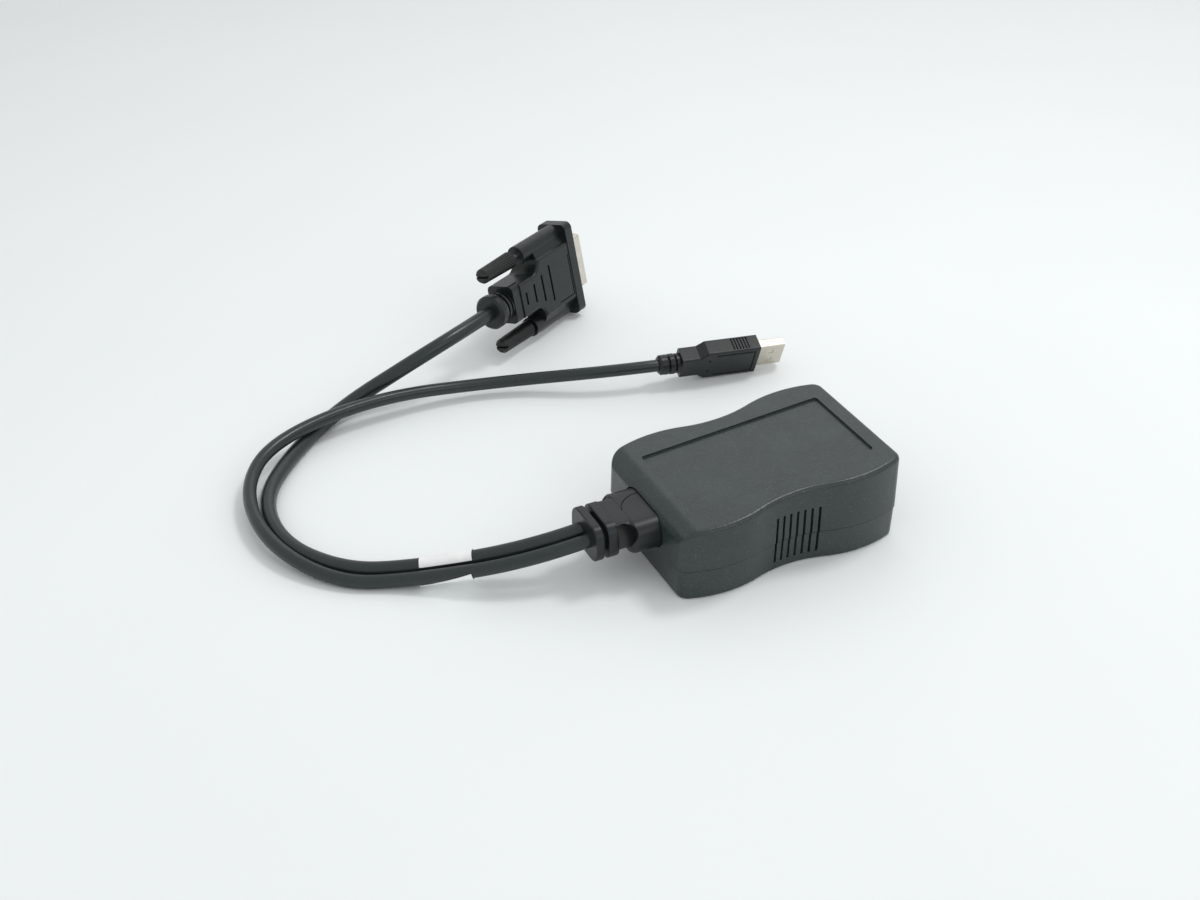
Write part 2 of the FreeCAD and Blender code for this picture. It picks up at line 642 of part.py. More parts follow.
# ---------------------------------------------------------------- cable boot
boot = body("cable_boot")
foot = "(-housing_length / 2)"
tail_end = foot + " - boot_block"
s = sketch(boot, "block", "YZ_Plane", foot + " + wall + 0.6")
boot_outline(s, "0")
pad(boot, "block", s, "boot_block + wall + 0.6", back=True)
names = edges(boot, lambda e: e.BoundBox.XMax < val(tail_end) + 0.01)
fillet(boot, "block_round", names, 2.4)
s = sketch(boot, "waist", "YZ_Plane", tail_end + " + 3")
side = "(boot_width / 2 - waist_step)"
rounded(s, "-" + side, side, BOOT_AXIS + " - boot_height / 2 + waist_step * 0.7", BOOT_AXIS + " + boot_height / 2 - 0.05", "boot_height * 0.38")
pad(boot, "waist", s, "boot_waist + 3.5", back=True)
for name, start, thick in (("first", "boot_waist", "boot_neck"), ("last", "boot_waist + boot_neck + boot_slot", "boot_rib")):
    s = sketch(boot, name + "_rib", "YZ_Plane", tail_end + " - (%s)" % start)
    rounded(s, "-rib_width / 2", "rib_width / 2", BOOT_AXIS + " - rib_height / 2", BOOT_AXIS + " + rib_height / 2", "rib_height * 0.35")
    pad(boot, name + "_rib", s, thick, back=True)
    near = val(tail_end + " - (%s)" % start)
    reach = val("rib_width / 2") - 0.05
    tall = val(BOOT_AXIS + " + rib_height / 2") - 0.05
    deep = val(BOOT_AXIS + " - rib_height / 2") + 0.05
    last = near if name == "last" else near - val(thick)
    names = edges(boot, lambda e: e.BoundBox.XLength < 0.01 and near - val(thick) - 0.01 < e.BoundBox.XMin < last + 0.01 and (
        e.BoundBox.YMax > reach or e.BoundBox.YMin < -reach or e.BoundBox.ZMax > tall or e.BoundBox.ZMin < deep))
    fillet(boot, name + "_rib_round", names, "rib_round")
    if name == "first":
        s = sketch(boot, "core", "YZ_Plane", tail_end + " - boot_waist - boot_neck + 1")
        rounded(s, "-rib_width / 2 + 2.8", "rib_width / 2 - 2.8", BOOT_AXIS + " - rib_height / 2 + 2.8", BOOT_AXIS + " + rib_height / 2 - 2.8", "rib_height * 0.2")
        pad(boot, "core", s, "boot_slot + 2", back=True)
s = sketch(boot, "anchor", "YZ_Plane", foot + " + wall + 0.4")
boot_outline(s, "1")
pad(boot, "anchor", s, 2)
for name, tilt, side in (("front", -45, 1), ("back", -135, -1)):
    s = sketch(boot, "eye_" + name, "XZ_Plane")
    out = (val(BOOT_CORNER) + 1) * math.sqrt(0.5)
    y = (val("boot_width / 2 - " + BOOT_CORNER) + out) * side
    z = val(BOOT_AXIS + " + boot_height / 2 - " + BOOT_CORNER) + out
    s.AttachmentOffset = FreeCAD.Placement(V(0, z, y), FreeCAD.Rotation(V(1, 0, 0), tilt))
    spot = tail_end + " - boot_waist - 0.3"
    x = val(spot)
    r = val("eye_length * 0.64")
    left = V(x, 0, 0)
    bow = V(x + val("eye_length"), 0, 0)
    s.addGeometry(Part.ArcOfCircle(Part.Circle(V(bow.x - r, 0, 0), V(0, 0, 1), r), -1.9, 1.9), False)
    top_end = V(bow.x - r + r * math.cos(1.9), r * math.sin(1.9), 0)
    s.addGeometry(Part.LineSegment(top_end, V(left.x, top_end.y, 0)), False)
    s.addGeometry(Part.LineSegment(V(left.x, top_end.y, 0), V(left.x, -top_end.y, 0)), False)
    s.addGeometry(Part.LineSegment(V(left.x, -top_end.y, 0), V(top_end.x, -top_end.y, 0)), False)
    pocket(boot, "eye_cut_" + name, s, "eye_depth")
s = sketch(boot, "hair_line", "XY_Plane", BOOT_AXIS + " + boot_height / 2 - 0.4")
mid = V(val(foot), val("boot_width * -0.125"), 0)
r = val("boot_width * 0.354")
s.addGeometry(Part.ArcOfCircle(Part.Circle(mid, V(0, 0, 1), r), 1.5, 2.88), False)
s.addGeometry(Part.ArcOfCircle(Part.Circle(mid, V(0, 0, 1), r - 0.35), 1.5, 2.88), False)
for angle in (1.5, 2.88):
    way = V(math.cos(angle), math.sin(angle), 0)
    s.addGeometry(Part.LineSegment(mid + way * r, mid + way * (r - 0.35)), False)
pocket(boot, "hair_line_cut", s, 2, back=True)

# --------------------------------------------------------------------- cords
def route(points, gauge, label):
    """A round cord along straight runs joined by tangent arcs."""
    pieces = []
    at = points[0]
    radii = []
    for i in range(1, len(points) - 1):
        into = points[i] - points[i - 1]
        out = points[i + 1] - points[i]
        half = into.getAngle(out) / 2
        cut = 0.45 * min(into.Length, out.Length)
        radii.append(cut / math.tan(half))
        into.normalize()
        out.normalize()
        begin = points[i] - into * cut
        finish = points[i] + out * cut
        bow = out - into
        bow.normalize()
        middle = points[i] + bow * (radii[-1] / math.cos(half) - radii[-1])
        pieces.append(Part.LineSegment(at, begin).toShape())
        pieces.append(Part.Arc(begin, middle, finish).toShape())
        at = finish
    pieces.append(Part.LineSegment(at, points[-1]).toShape())
    path = Part.Wire(pieces)
    way = points[1] - points[0]
    ring = Part.Wire(Part.makeCircle(gauge / 2, points[0], way))
    tube = path.makePipeShell([ring], True, True)
    cord = doc.addObject("Part::Feature", label)
    cord.Label = label
    cord.Shape = tube
    nodes.append(cord)
    expected = math.pi * gauge * gauge / 4 * path.Length
    print("%s is %.1f mm long, least bend radius %.1f mm, volume %.4f of expected" % (
        label, path.Length, min(radii), tube.Volume / expected))
    return cord


def beside(points, gap, shares):
    """Points of a second cord that keeps close inside the first."""
    ways = []
    for i in range(len(points) - 1):
        d = points[i + 1] - points[i]
        d.z = 0
        d.normalize()
        ways.append(V(d.y, -d.x, 0))
    out = []
    for i, share in enumerate(shares, start=1):
        m = ways[i - 1] + ways[i]
        m.normalize()
        out.append(points[i] + m * (gap * share / m.dot(ways[i])))
    return out


def plug_pose(name, x, y, z, yaw, dip, roll):
    """Where a loose plug lies: its face middle and how it is turned."""
    turned = FreeCAD.Rotation(V(0, 0, 1), yaw) * FreeCAD.Rotation(V(0, 1, 0), dip) * FreeCAD.Rotation(V(1, 0, 0), roll)
    return FreeCAD.Placement(V(x, y, z), turned)


usb_pose = plug_pose("usb", 57.7, 94.2, val("usb_width") * 0.551, -8.5, 2.5, 19.4)
dvi_pose = plug_pose("dvi", 8.63, 179.96, val("flange_width") * 0.5195, 30.96, 2.27, -13.18)
usb_rest = val("usb_cord_size / 2") + 0.05
video_rest = val("video_cord_size / 2") + 0.05
exit_x = -val("housing_length / 2 + boot_block + boot_waist + boot_neck + boot_slot + boot_rib")
exit_z = val(BOOT_AXIS)
half_gap = val("pair_gap") / 2
usb_end = usb_pose.multVec(V(-val("usb_length + usb_boot_length") + 3, 0, 0))
usb_lead = usb_pose.multVec(V(-val("usb_length + usb_boot_length") - 19, 0, 0))
usb_points = [
    V(exit_x + 4, -half_gap, exit_z - 0.3),
    V(-90, -1, 14),
    V(-128, 21.5, usb_rest + 0.3),
    V(-151, 32, usb_rest),
    V(-167.5, 60, usb_rest + 3.6),
    V(-165.5, 97, usb_rest + 3.4),
    V(-147, 119.5, 9.2),
    V(-100, 130.5, 9.9),
    V(-48, 127.5, 4.6),
    usb_lead,
    usb_end,
]
dvi_end = dvi_pose.multVec(V(-val("hood_length + hood_block + dvi_boot_length") + 3, 0, 0))
dvi_lead = dvi_pose.multVec(V(-val("hood_length + hood_block + dvi_boot_length") - 21, 0, 0))
inner = beside(usb_points, val("pair_gap"), (1, 1, 1.03, 0.93, 0.92))
inner[0] = inner[0] + V(0.8, 0.5, 0.3)
inner[1].z = video_rest + 0.3
for p in inner[2:]:
    p.z = video_rest
inner[4].y = inner[4].y - 4
video_points = [V(exit_x + 4, half_gap, exit_z)] + inner + [
    V(-141.5, 115.5, video_rest),
    V(-113, 139, video_rest + 0.3),
    V(-82, 136, 18.5),
    dvi_lead,
    dvi_end,
]
route(usb_points, val("usb_cord_size"), "usb_cord")
route(video_points, val("video_cord_size"), "video_cord")
for label, spots in (("usb", usb_points), ("video", video_points)):
    print(label, "route:", ["%.2f %.2f %.2f" % (p.x, p.y, p.z) for p in spots])

# ------------------------------------------------------------------ cord tag
tag = body("cord_tag")
tag_way = usb_points[2] - usb_points[1]
tag_way.normalize()
video_way = inner[1] - inner[0]
video_way.normalize()
tag_middle = usb_points[1] + tag_way * val("tag_start + tag_length / 2")
beside_it = inner[0] + video_way * (tag_middle - inner[0]).dot(tag_way)
side_way = beside_it - tag_middle
side_way = side_way - tag_way * side_way.dot(tag_way)
gap = side_way.Length
side_way.normalize()
r_in = val("video_cord_size / 2") + 0.3
r_out = r_in + val("tag_skin")
# seen along the cords: the USB cord at the origin, the video cord at +gap
s = sketch(tag, "wrap")
right = math.pi / 2
over = right + 0.5
lip = 2 * right + 0.35
ring_out = s.addGeometry(arc(gap, 0, r_out, -right, over), False)
ring_in = s.addGeometry(arc(gap, 0, r_in, -right, over), False)
floor_out = s.addGeometry(Part.LineSegment(V(gap, -r_out, 0), V(0, -r_out, 0)), False)
floor_in = s.addGeometry(Part.LineSegment(V(gap, -r_in, 0), V(0, -r_in, 0)), False)
hug_out = s.addGeometry(arc(0, 0, r_out, lip, 3 * right), False)
hug_in = s.addGeometry(arc(0, 0, r_in, lip, 3 * right), False)
for geo_out, geo_in, centre, angle in ((ring_out, ring_in, gap, over), (hug_out, hug_in, 0, lip)):
    tip = V(math.cos(angle), math.sin(angle), 0)
    start = V(centre, 0, 0) + tip * r_out
    finish = V(centre, 0, 0) + tip * r_in
    s.addGeometry(Part.LineSegment(start, finish), False)
pad(tag, "wrap", s, "tag_length")
up_way = side_way.cross(tag_way)
if up_way.z < 0:
    up_way = up_way * -1
turned = FreeCAD.Rotation(side_way, up_way, side_way.cross(up_way), "XYZ")
along = side_way.cross(up_way).dot(tag_way)
lead = val("tag_start") if along > 0 else val("tag_start + tag_length")
tag.Placement = FreeCAD.Placement(usb_points[1] + tag_way * lead, turned)

# ------------------------------------------------------------------ DVI plug
def posed(label, pose):
    """A body of a loose plug, standing where the plug lies."""
    b = body(label)
    b.Placement = pose
    return b


hood = posed("dvi_hood", dvi_pose)
s = sketch(hood, "flange", "YZ_Plane", "-flange_thick")
rounded(s, "-flange_depth / 2", "flange_depth / 2", "-flange_width / 2", "flange_width / 2", 2.6)
pad(hood, "flange", s, "flange_thick")
s = sketch(hood, "side", "XZ_Plane")
wide = "((dvi_screw_gap - barrel_size) / 2 + 1)"
polygon(s, [
    ("-flange_thick + 0.5", "-" + wide),
    ("-flange_thick + 0.5", wide),
    ("-hood_straight", wide),
    ("-hood_straight", "hood_end / 2"),
    ("-hood_length", "hood_end / 2"),
    ("-hood_length", "-hood_end / 2"),
    ("-hood_straight", "-hood_end / 2"),
    ("-hood_straight", "-" + wide),
])
pad(hood, "wedge", s, "hood_depth", both=True)
step_x, step_z = val("-hood_straight"), val("hood_end / 2")
names = edges(hood, lambda e: abs(e.BoundBox.XMin - step_x) < 0.01 and abs(e.BoundBox.XMax - step_x) < 0.01 and e.BoundBox.YLength > 3 and abs(abs(e.CenterOfMass.z) - step_z) < 0.01)
fillet(hood, "step_round", names, "hood_step")
names = creases(hood, lambda e: e.BoundBox.YLength < 0.01 and e.BoundBox.XLength > 0.2)
fillet(hood, "wedge_round", names, 1.2)
s = sketch(hood, "web", "YZ_Plane", "-flange_thick + 0.5")
a, b, c, g = "(hood_depth / 2 - 0.7)", "(barrel_size / 2 - 0.15)", "(" + wide + " - 1.2)", "dvi_screw_gap / 2"
polygon(s, [
    ("-" + a, "-" + c), ("-" + b, "-" + g), (b, "-" + g), (a, "-" + c),
    (a, c), (b, g), ("-" + b, g), ("-" + a, c),
])
pad(hood, "web", s, "hood_straight - flange_thick - 0.7", back=True)
s = sketch(hood, "block", "YZ_Plane", "-hood_length + 1")
rounded(s, "-hood_depth / 2 + 0.5", "hood_depth / 2 - 0.5", "-hood_end / 2 - 0.7", "hood_end / 2 + 0.7", 2.5)
pad(hood, "block", s, "hood_block + 1", back=True)
for name, sign in (("upper", 1), ("lower", -1)):
    s = sketch(hood, "barrel_" + name, "YZ_Plane", "-flange_thick + 0.5")
    circle(s, 0, "dvi_screw_gap / 2 * %d" % sign, "barrel_size")
    pad(hood, "barrel_" + name, s, "barrel_length - flange_thick + 0.5", back=True)
for name, sign in (("upper", 1), ("lower", -1)):
    s = sketch(hood, "bore_" + name, "YZ_Plane")
    circle(s, 0, "dvi_screw_gap / 2 * %d" % sign, "shank_size + shank_room")
    pocket(hood, "bore_cut_" + name, s, "barrel_length + 1")
for side, sign, back in (("front", 1, False), ("back", -1, True)):
    s = sketch(hood, "lines_" + side, "XZ_Plane", "(hood_depth / 2 - 0.8) * %d" % sign)
    for k in range(4):
        at = "-hood_length + 3.4 + %d * 6.2" % k
        reach_z = "(hood_end * 0.18 + %d * 1.1 + %d * 0.24)" % (k, k * k)
        box(s, at + " - 0.6", at + " + 0.6", "-" + reach_z, reach_z)
    pocket(hood, "lines_cut_" + side, s, 3, back=not back)
    s = sketch(hood, "border_" + side, "XZ_Plane", "(hood_depth / 2 - 0.5) * %d" % sign)
    edge_x = "-flange_thick - 0.9"
    edge_z = wide + " - 2.3"
    polygon(s, [
        (edge_x, "hood_end / 2"), (edge_x + " - 0.5", "hood_end / 2"),
        (edge_x + " - 0.5", "-(" + edge_z + ") + 0.5"),
        (edge_x + " - 11.5", "-(" + edge_z + ") + 0.5"),
        (edge_x + " - 11.5", "-(" + edge_z + ")"), (edge_x, "-(" + edge_z + ")"),
    ])
    pocket(hood, "border_cut_" + side, s, 3, back=not back)
s = sketch(hood, "seat", "YZ_Plane")
box(s, "-shell_depth / 2 + 0.6", "shell_depth / 2 - 0.6", "-shell_width / 2 + 0.6", "shell_width / 2 - 0.6")
pocket(hood, "seat_cut", s, 3)

cap = posed("dvi_boot", dvi_pose)
s = sketch(cap, "side", "XZ_Plane")
x0 = "-hood_length - hood_block"
r0 = "dvi_boot_size / 2"
polygon(s, [
    (x0, 0), (x0, r0 + " - 1"), (x0 + " - 0.9", r0 + " - 1"), (x0 + " - 0.9", r0 + " - 2.9"),
    (x0 + " - 2.3", r0 + " - 2.9"), (x0 + " - 2.3", r0 + " - 0.7"), (x0 + " - 3.6", r0 + " - 0.7"),
    (x0 + " - 3.6", r0 + " - 2.9"), (x0 + " - 5", r0 + " - 2.9"), (x0 + " - 5", r0 + " - 0.4"),
    (x0 + " - 6.6", r0), (x0 + " - dvi_boot_length + 1", r0), (x0 + " - dvi_boot_length", r0 + " - 1"),
    (x0 + " - dvi_boot_length", 0),
])
turn(cap, "boot", s, "H_Axis")

shell = posed("dvi_shell", dvi_pose)
s = sketch(shell, "rim", "YZ_Plane")
box(s, "-flange_depth / 2 + 1.5", "flange_depth / 2 - 1.5", "-shell_width / 2 - 1.6", "shell_width / 2 + 1.6")
pad(shell, "rim", s, 0.5)
s = sketch(shell, "nose", "YZ_Plane")
rounded(s, "-shell_depth / 2", "shell_depth / 2", "-shell_width / 2", "shell_width / 2", 1.2)
pad(shell, "nose", s, "shell_reach")
s = sketch(shell, "room", "YZ_Plane", "shell_reach")
rounded(s, "-shell_depth / 2 + 0.5", "shell_depth / 2 - 0.5", "-shell_width / 2 + 0.5", "shell_width / 2 - 0.5", 0.7)
pocket(shell, "room_cut", s, "shell_reach + 1")

core = posed("dvi_insulator", dvi_pose)
s = sketch(core, "block", "YZ_Plane", "-2.9")
box(s, "-shell_depth / 2 + 0.75", "shell_depth / 2 - 0.75", "-shell_width / 2 + 0.75", "shell_width / 2 - 0.75")
pad(core, "block", s, 4.4)

pins = posed("dvi_pins", dvi_pose)
s = sketch(pins, "pin", "YZ_Plane", 1.5)
pitch = "(shell_width - 4.2) / 11"
circle(s, pitch, pitch + " * -5.2", 0.8)
circle(s, 0, pitch + " * -5.2", 0.8)
circle(s, "-" + pitch, pitch + " * -5.2", 0.8)
pad(pins, "pin", s, "shell_reach - 2.7")
row(pins, "pin_row", pins.Tip, pitch, "8", "Z_Axis")
s = sketch(pins, "blade", "YZ_Plane", 1.5)
box(s, -2, 2, pitch + " * 4.4", pitch + " * 4.4 + 0.6")
pad(pins, "blade", s, "shell_reach - 2.7")

for name, sign, out in (("upper", 1, 3.2), ("lower", -1, 0)):
    knob = posed(name + "_knob", dvi_pose)
    collar = "(-barrel_length - knob_gap - %g)" % out
    s = sketch(knob, "side", "XZ_Plane")
    polygon(s, [
        (collar, 0), (collar, "knob_size / 2 - 0.5"), (collar + " - 0.8", "knob_size / 2"),
        (collar + " - knob_length + 1.2", "knob_size / 2 - 0.45"), (collar + " - knob_length", "knob_size / 2 - 1.3"),
        (collar + " - knob_length", 0),
    ])
    turn(knob, "knob", s, "H_Axis")
    s = sketch(knob, "slot", "YZ_Plane", collar + " - knob_length")
    box(s, "-knob_size", "knob_size", -0.5, 0.5)
    pocket(knob, "slot_cut", s, 1.6, back=True)
    s = sketch(knob, "knurl", "YZ_Plane", collar)
    box(s, "-0.22", "0.22", "knob_size / 2 - 0.55", "knob_size")
    cut = pocket(knob, "knurl_cut", s, "knob_length")
    f = knob.newObject("PartDesign::PolarPattern", knob.Name + "_knurls")
    f.Originals = [cut]
    f.Axis = ([o for o in knob.Origin.OriginFeatures if o.Role == "X_Axis"][0], [""])
    f.Angle = 360
    f.Occurrences = 22
    done(knob, f)
    screw = posed(name + "_screw", dvi_pose)
    s = sketch(screw, "side", "XZ_Plane")
    polygon(s, [
        (collar, 0), (collar, "shank_size / 2"), ("4.6 - %g" % out, "shank_size / 2"),
        ("5.2 - %g" % out, "shank_size / 2 - 0.6"), ("5.2 - %g" % out, 0),
    ])
    turn(screw, "shank", s, "H_Axis")
    s = sketch(screw, "root", "XZ_Plane")
    box(s, "1.2 - %g" % out, "1.5 - %g" % out, "shank_size / 2 - 0.25", "shank_size / 2 + 0.2")
    cut = turn(screw, "root_cut", s, "H_Axis", cut=True)
    row(screw, "roots", cut, "0.55", "6")
    for b in (knob, screw):
        b.Placement = dvi_pose.multiply(FreeCAD.Placement(V(0, 0, sign * val("dvi_screw_gap") / 2), FreeCAD.Rotation()))

# ------------------------------------------------------------------ USB plug
grip_body = posed("usb_overmould", usb_pose)
s = sketch(grip_body, "plan", "XZ_Plane")
polygon(s, [
    (0, "-usb_width / 2"), (0, "usb_width / 2"), ("-usb_wide_part", "usb_width / 2"),
    ("-usb_wide_part - 3.4", "usb_rear_width / 2"), ("-usb_length", "usb_rear_width / 2"),
    ("-usb_length", "-usb_rear_width / 2"), ("-usb_wide_part - 3.4", "-usb_rear_width / 2"),
    ("-usb_wide_part", "-usb_width / 2"),
])
pad(grip_body, "block", s, "usb_thick", both=True)
names = edges(grip_body, lambda e: e.BoundBox.YMax - e.BoundBox.YMin < 0.01 and e.BoundBox.XMax - e.BoundBox.XMin > 1)
fillet(grip_body, "edge_round", names, 0.8)
for side, sign, back in (("front", 1, False), ("back", -1, True)):
    s = sketch(grip_body, "panel_" + side, "XZ_Plane", "(usb_thick / 2 - 0.4) * %d" % sign)
    outer = "(usb_width / 2 - 1.6)"
    inside = "(usb_width / 2 - 2.3)"
    polygon(s, [
        ("-usb_wide_part + 4", "-" + outer), (-1.9, "-" + outer), (-1.9, outer), ("-usb_wide_part + 4", outer),
        ("-usb_wide_part + 4", inside), (-2.6, inside), (-2.6, "-" + inside), ("-usb_wide_part + 4", "-" + inside),
    ])
    circle(s, "-usb_wide_part + 1.2", 3, 1)
    circle(s, "-usb_wide_part + 1.2", -3, 1)
    pocket(grip_body, "panel_cut_" + side, s, 2, back=not back)
for side, sign, back in (("top", 1, False), ("under", -1, True)):
    s = sketch(grip_body, "rib_" + side, "XY_Plane", "(usb_width / 2 - 0.5) * %d" % sign)
    box(s, "-12.25", "-11.55", "-usb_thick / 2 + 0.9", "usb_thick / 2 - 0.9")
    cut = pocket(grip_body, "rib_cut_" + side, s, 2, back=not back)
    row(grip_body, "ribs_" + side, cut, "1.35", "6")

tail = posed("usb_boot", usb_pose)
s = sketch(tail, "side", "XZ_Plane")
x0 = "-usb_length"
r0 = "usb_boot_size / 2"
polygon(s, [
    (x0, 0), (x0, r0 + " - 0.5"), (x0 + " - 1.7", r0 + " - 0.5"), (x0 + " - 1.7", r0 + " - 1.6"),
    (x0 + " - 2.7", r0 + " - 1.6"), (x0 + " - 2.7", r0 + " - 0.3"), (x0 + " - 4.7", r0 + " - 0.4"),
    (x0 + " - 4.7", r0 + " - 1.6"), (x0 + " - 5.7", r0 + " - 1.6"), (x0 + " - 5.7", r0 + " - 0.4"),
    (x0 + " - usb_boot_length + 0.8", r0 + " - 0.5"), (x0 + " - usb_boot_length", r0 + " - 1.3"),
    (x0 + " - usb_boot_length", 0),
])
turn(tail, "boot", s, "H_Axis")

can = posed("usb_shell", usb_pose)
s = sketch(can, "section", "YZ_Plane")
rounded(s, "-usb_shell_thick / 2", "usb_shell_thick / 2", "-usb_shell_width / 2", "usb_shell_width / 2", 0.6)
pad(can, "tube", s, "usb_shell_reach")
s = sketch(can, "room", "YZ_Plane", "usb_shell_reach")
rounded(s, "-usb_shell_thick / 2 + usb_skin", "usb_shell_thick / 2 - usb_skin", "-usb_shell_width / 2 + usb_skin", "usb_shell_width / 2 - usb_skin", 0.3)
pocket(can, "room_cut", s, "usb_shell_reach + 1")
for side, sign, back in (("front", 1, False), ("back", -1, True)):
    s = sketch(can, "latches_" + side, "XZ_Plane", "(usb_shell_thick / 2 - usb_skin * 0.6) * %d" % sign)
    for z in ("usb_shell_width * 0.21", "-usb_shell_width * 0.21"):
        box(s, "5.2", "7.4", z + " - 1.1", z + " + 1.1")
    pocket(can, "latch_cut_" + side, s, 1, back=not back)

tongue = posed("usb_tongue", usb_pose)
s = sketch(tongue, "section", "YZ_Plane")
box(s, "usb_shell_thick / 2 - usb_skin - 0.1 - 1.9", "usb_shell_thick / 2 - usb_skin - 0.1", "-usb_shell_width / 2 + usb_skin + 0.1", "usb_shell_width / 2 - usb_skin - 0.1")
pad(tongue, "block", s, "usb_shell_reach - 0.6")

leaf = posed("usb_contacts", usb_pose)
s = sketch(leaf, "strip", "YZ_Plane", 2.5)
box(s, "usb_shell_thick / 2 - usb_skin - 2.15", "usb_shell_thick / 2 - usb_skin - 2", "-3.9", "-2.9")
pad(leaf, "strip", s, 7.4)
row(leaf, "strips", leaf.Tip, "2.27", "4", "Z_Axis")

# ------------------------------------------------------------------- writing
doc.recompute()
os.makedirs("parts", exist_ok=True)
for thing in doc.Objects:
    if "Invalid" in thing.State or "Error" in thing.State:
        raise ValueError("%s did not build: %s" % (thing.Name, thing.State))
for node in nodes:
    if node.Shape.isNull() or not node.Shape.isValid():
        raise ValueError("%s has a bad shape" % node.Label)
    node.Shape.exportStep("parts/%s.step" % node.Label)
    print("%-16s solids %d volume %9.1f lowest %.2f" % (
        node.Label, len(node.Shape.Solids), node.Shape.Volume, node.Shape.optimalBoundingBox().ZMin))
print("nodes", len(nodes))
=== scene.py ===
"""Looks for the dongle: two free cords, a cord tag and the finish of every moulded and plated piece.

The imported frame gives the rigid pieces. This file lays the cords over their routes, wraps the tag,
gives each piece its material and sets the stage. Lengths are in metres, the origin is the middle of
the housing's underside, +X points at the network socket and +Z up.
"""

import math

import bmesh
import bpy
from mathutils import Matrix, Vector


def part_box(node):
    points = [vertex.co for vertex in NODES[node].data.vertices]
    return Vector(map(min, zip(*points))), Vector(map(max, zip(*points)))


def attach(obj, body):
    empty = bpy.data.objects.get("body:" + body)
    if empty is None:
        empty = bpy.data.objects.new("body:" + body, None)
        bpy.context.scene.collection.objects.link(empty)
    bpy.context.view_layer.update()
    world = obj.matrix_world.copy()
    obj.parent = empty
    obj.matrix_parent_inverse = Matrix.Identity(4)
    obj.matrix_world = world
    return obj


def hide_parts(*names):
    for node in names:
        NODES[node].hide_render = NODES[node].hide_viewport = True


bl_info = {
    "name": "Dongle Looks",
    "version": (1, 0, 0),
    "blender": (4, 5, 0),
    "location": "View3D > Sidebar > Dongle",
    "description": "Lays the cords and gives the pieces of the dongle their finishes",
    "category": "Object",
}

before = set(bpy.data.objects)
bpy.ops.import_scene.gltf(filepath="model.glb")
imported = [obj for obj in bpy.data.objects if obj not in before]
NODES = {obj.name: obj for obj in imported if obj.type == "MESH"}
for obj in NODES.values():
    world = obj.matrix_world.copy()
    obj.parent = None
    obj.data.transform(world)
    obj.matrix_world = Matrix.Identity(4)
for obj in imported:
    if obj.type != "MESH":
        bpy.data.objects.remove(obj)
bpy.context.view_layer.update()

# Where each cord runs, in metres: from inside the boot, round the loop, to inside its plug.
USB_ROUTE = [
    (-0.06480, -0.00300, 0.01790),
    (-0.09000, -0.00100, 0.01400),
    (-0.12800, 0.02150, 0.00295),
    (-0.15100, 0.03200, 0.00265),
    (-0.16750, 0.06000, 0.00625),
    (-0.16550, 0.09700, 0.00605),
    (-0.14700, 0.11950, 0.00920),
    (-0.10000, 0.13050, 0.00990),
    (-0.04800, 0.12750, 0.00460),
    (-0.00455, 0.10350, 0.01134),
    (0.01719, 0.10025, 0.01038),
]
VIDEO_ROUTE = [
    (-0.06480, 0.00300, 0.01820),
    (-0.08734, 0.00537, 0.01430),
    (-0.12522, 0.02683, 0.00345),
    (-0.14666, 0.03681, 0.00315),
    (-0.16184, 0.06138, 0.00315),
    (-0.16009, 0.09089, 0.00315),
    (-0.14150, 0.11550, 0.00315),
    (-0.11300, 0.13900, 0.00345),
    (-0.08200, 0.13600, 0.01850),
    (-0.05906, 0.13935, 0.02495),
    (-0.03850, 0.15169, 0.02400),
]

# The tag's fold: angles in degrees round the cords, lengths in metres.
TAG_TOP = 28.0
TAG_BOTTOM = 270.0
LIP_AT_BOOT = 106.0
LIP_AT_LOOP = 42.0
TAG_STATIONS = 26
TAG_SLACK = 0.0001
TAG_WAVE = 0.00006
TAG_AIM = 0.0005
SHARP_FOLD = 0.9

CAMERA_SPOT = (-0.2622, -0.4043, 0.3603)
CAMERA_TILT = 55.67
CAMERA_TURN = -26.28
FLOOR_REACH = 4.0
SKY_STRENGTH = 0.765


# ------------------------------------------------------------------ settings
class DongleSizes(bpy.types.PropertyGroup):
    """Sizes that a user would change."""

    usb_gauge: bpy.props.FloatProperty(
        name="USB cord diameter", description="Outer diameter of the thinner cord",
        default=0.0052, min=0.003, max=0.008, unit="LENGTH",
    )
    video_gauge: bpy.props.FloatProperty(
        name="Video cord diameter", description="Outer diameter of the thicker cord",
        default=0.0062, min=0.003, max=0.01, unit="LENGTH",
    )
    usb_length: bpy.props.FloatProperty(
        name="USB cord length", description="Real length of the thinner cord",
        default=0.357, min=0.1, max=2.0, unit="LENGTH",
    )
    video_length: bpy.props.FloatProperty(
        name="Video cord length", description="Real length of the thicker cord",
        default=0.290, min=0.1, max=2.0, unit="LENGTH",
    )
    tag_start: bpy.props.FloatProperty(
        name="Tag start", description="Length of video cord between the boot's inside and the tag",
        default=0.0430, min=0.03, max=0.2, unit="LENGTH",
    )
    tag_length: bpy.props.FloatProperty(
        name="Tag length", description="How far the tag reaches along the cords",
        default=0.0195, min=0.005, max=0.06, unit="LENGTH",
    )
    tag_skin: bpy.props.FloatProperty(
        name="Tag thickness", description="Thickness of the folded vinyl",
        default=0.0003, min=0.0001, max=0.001, unit="LENGTH",
    )
    grain: bpy.props.FloatProperty(
        name="Moulded grain", description="Size of the grain in the moulded plastic",
        default=0.00045, min=0.0001, max=0.002, unit="LENGTH",
    )
    edge_round: bpy.props.FloatProperty(
        name="Edge rounding", description="How far moulded edges look rounded",
        default=0.00025, min=0.0, max=0.001, unit="LENGTH",
    )
    lens: bpy.props.FloatProperty(
        name="Lens", description="Focal length of the camera in millimetres",
        default=47.98, min=20.0, max=120.0,
    )


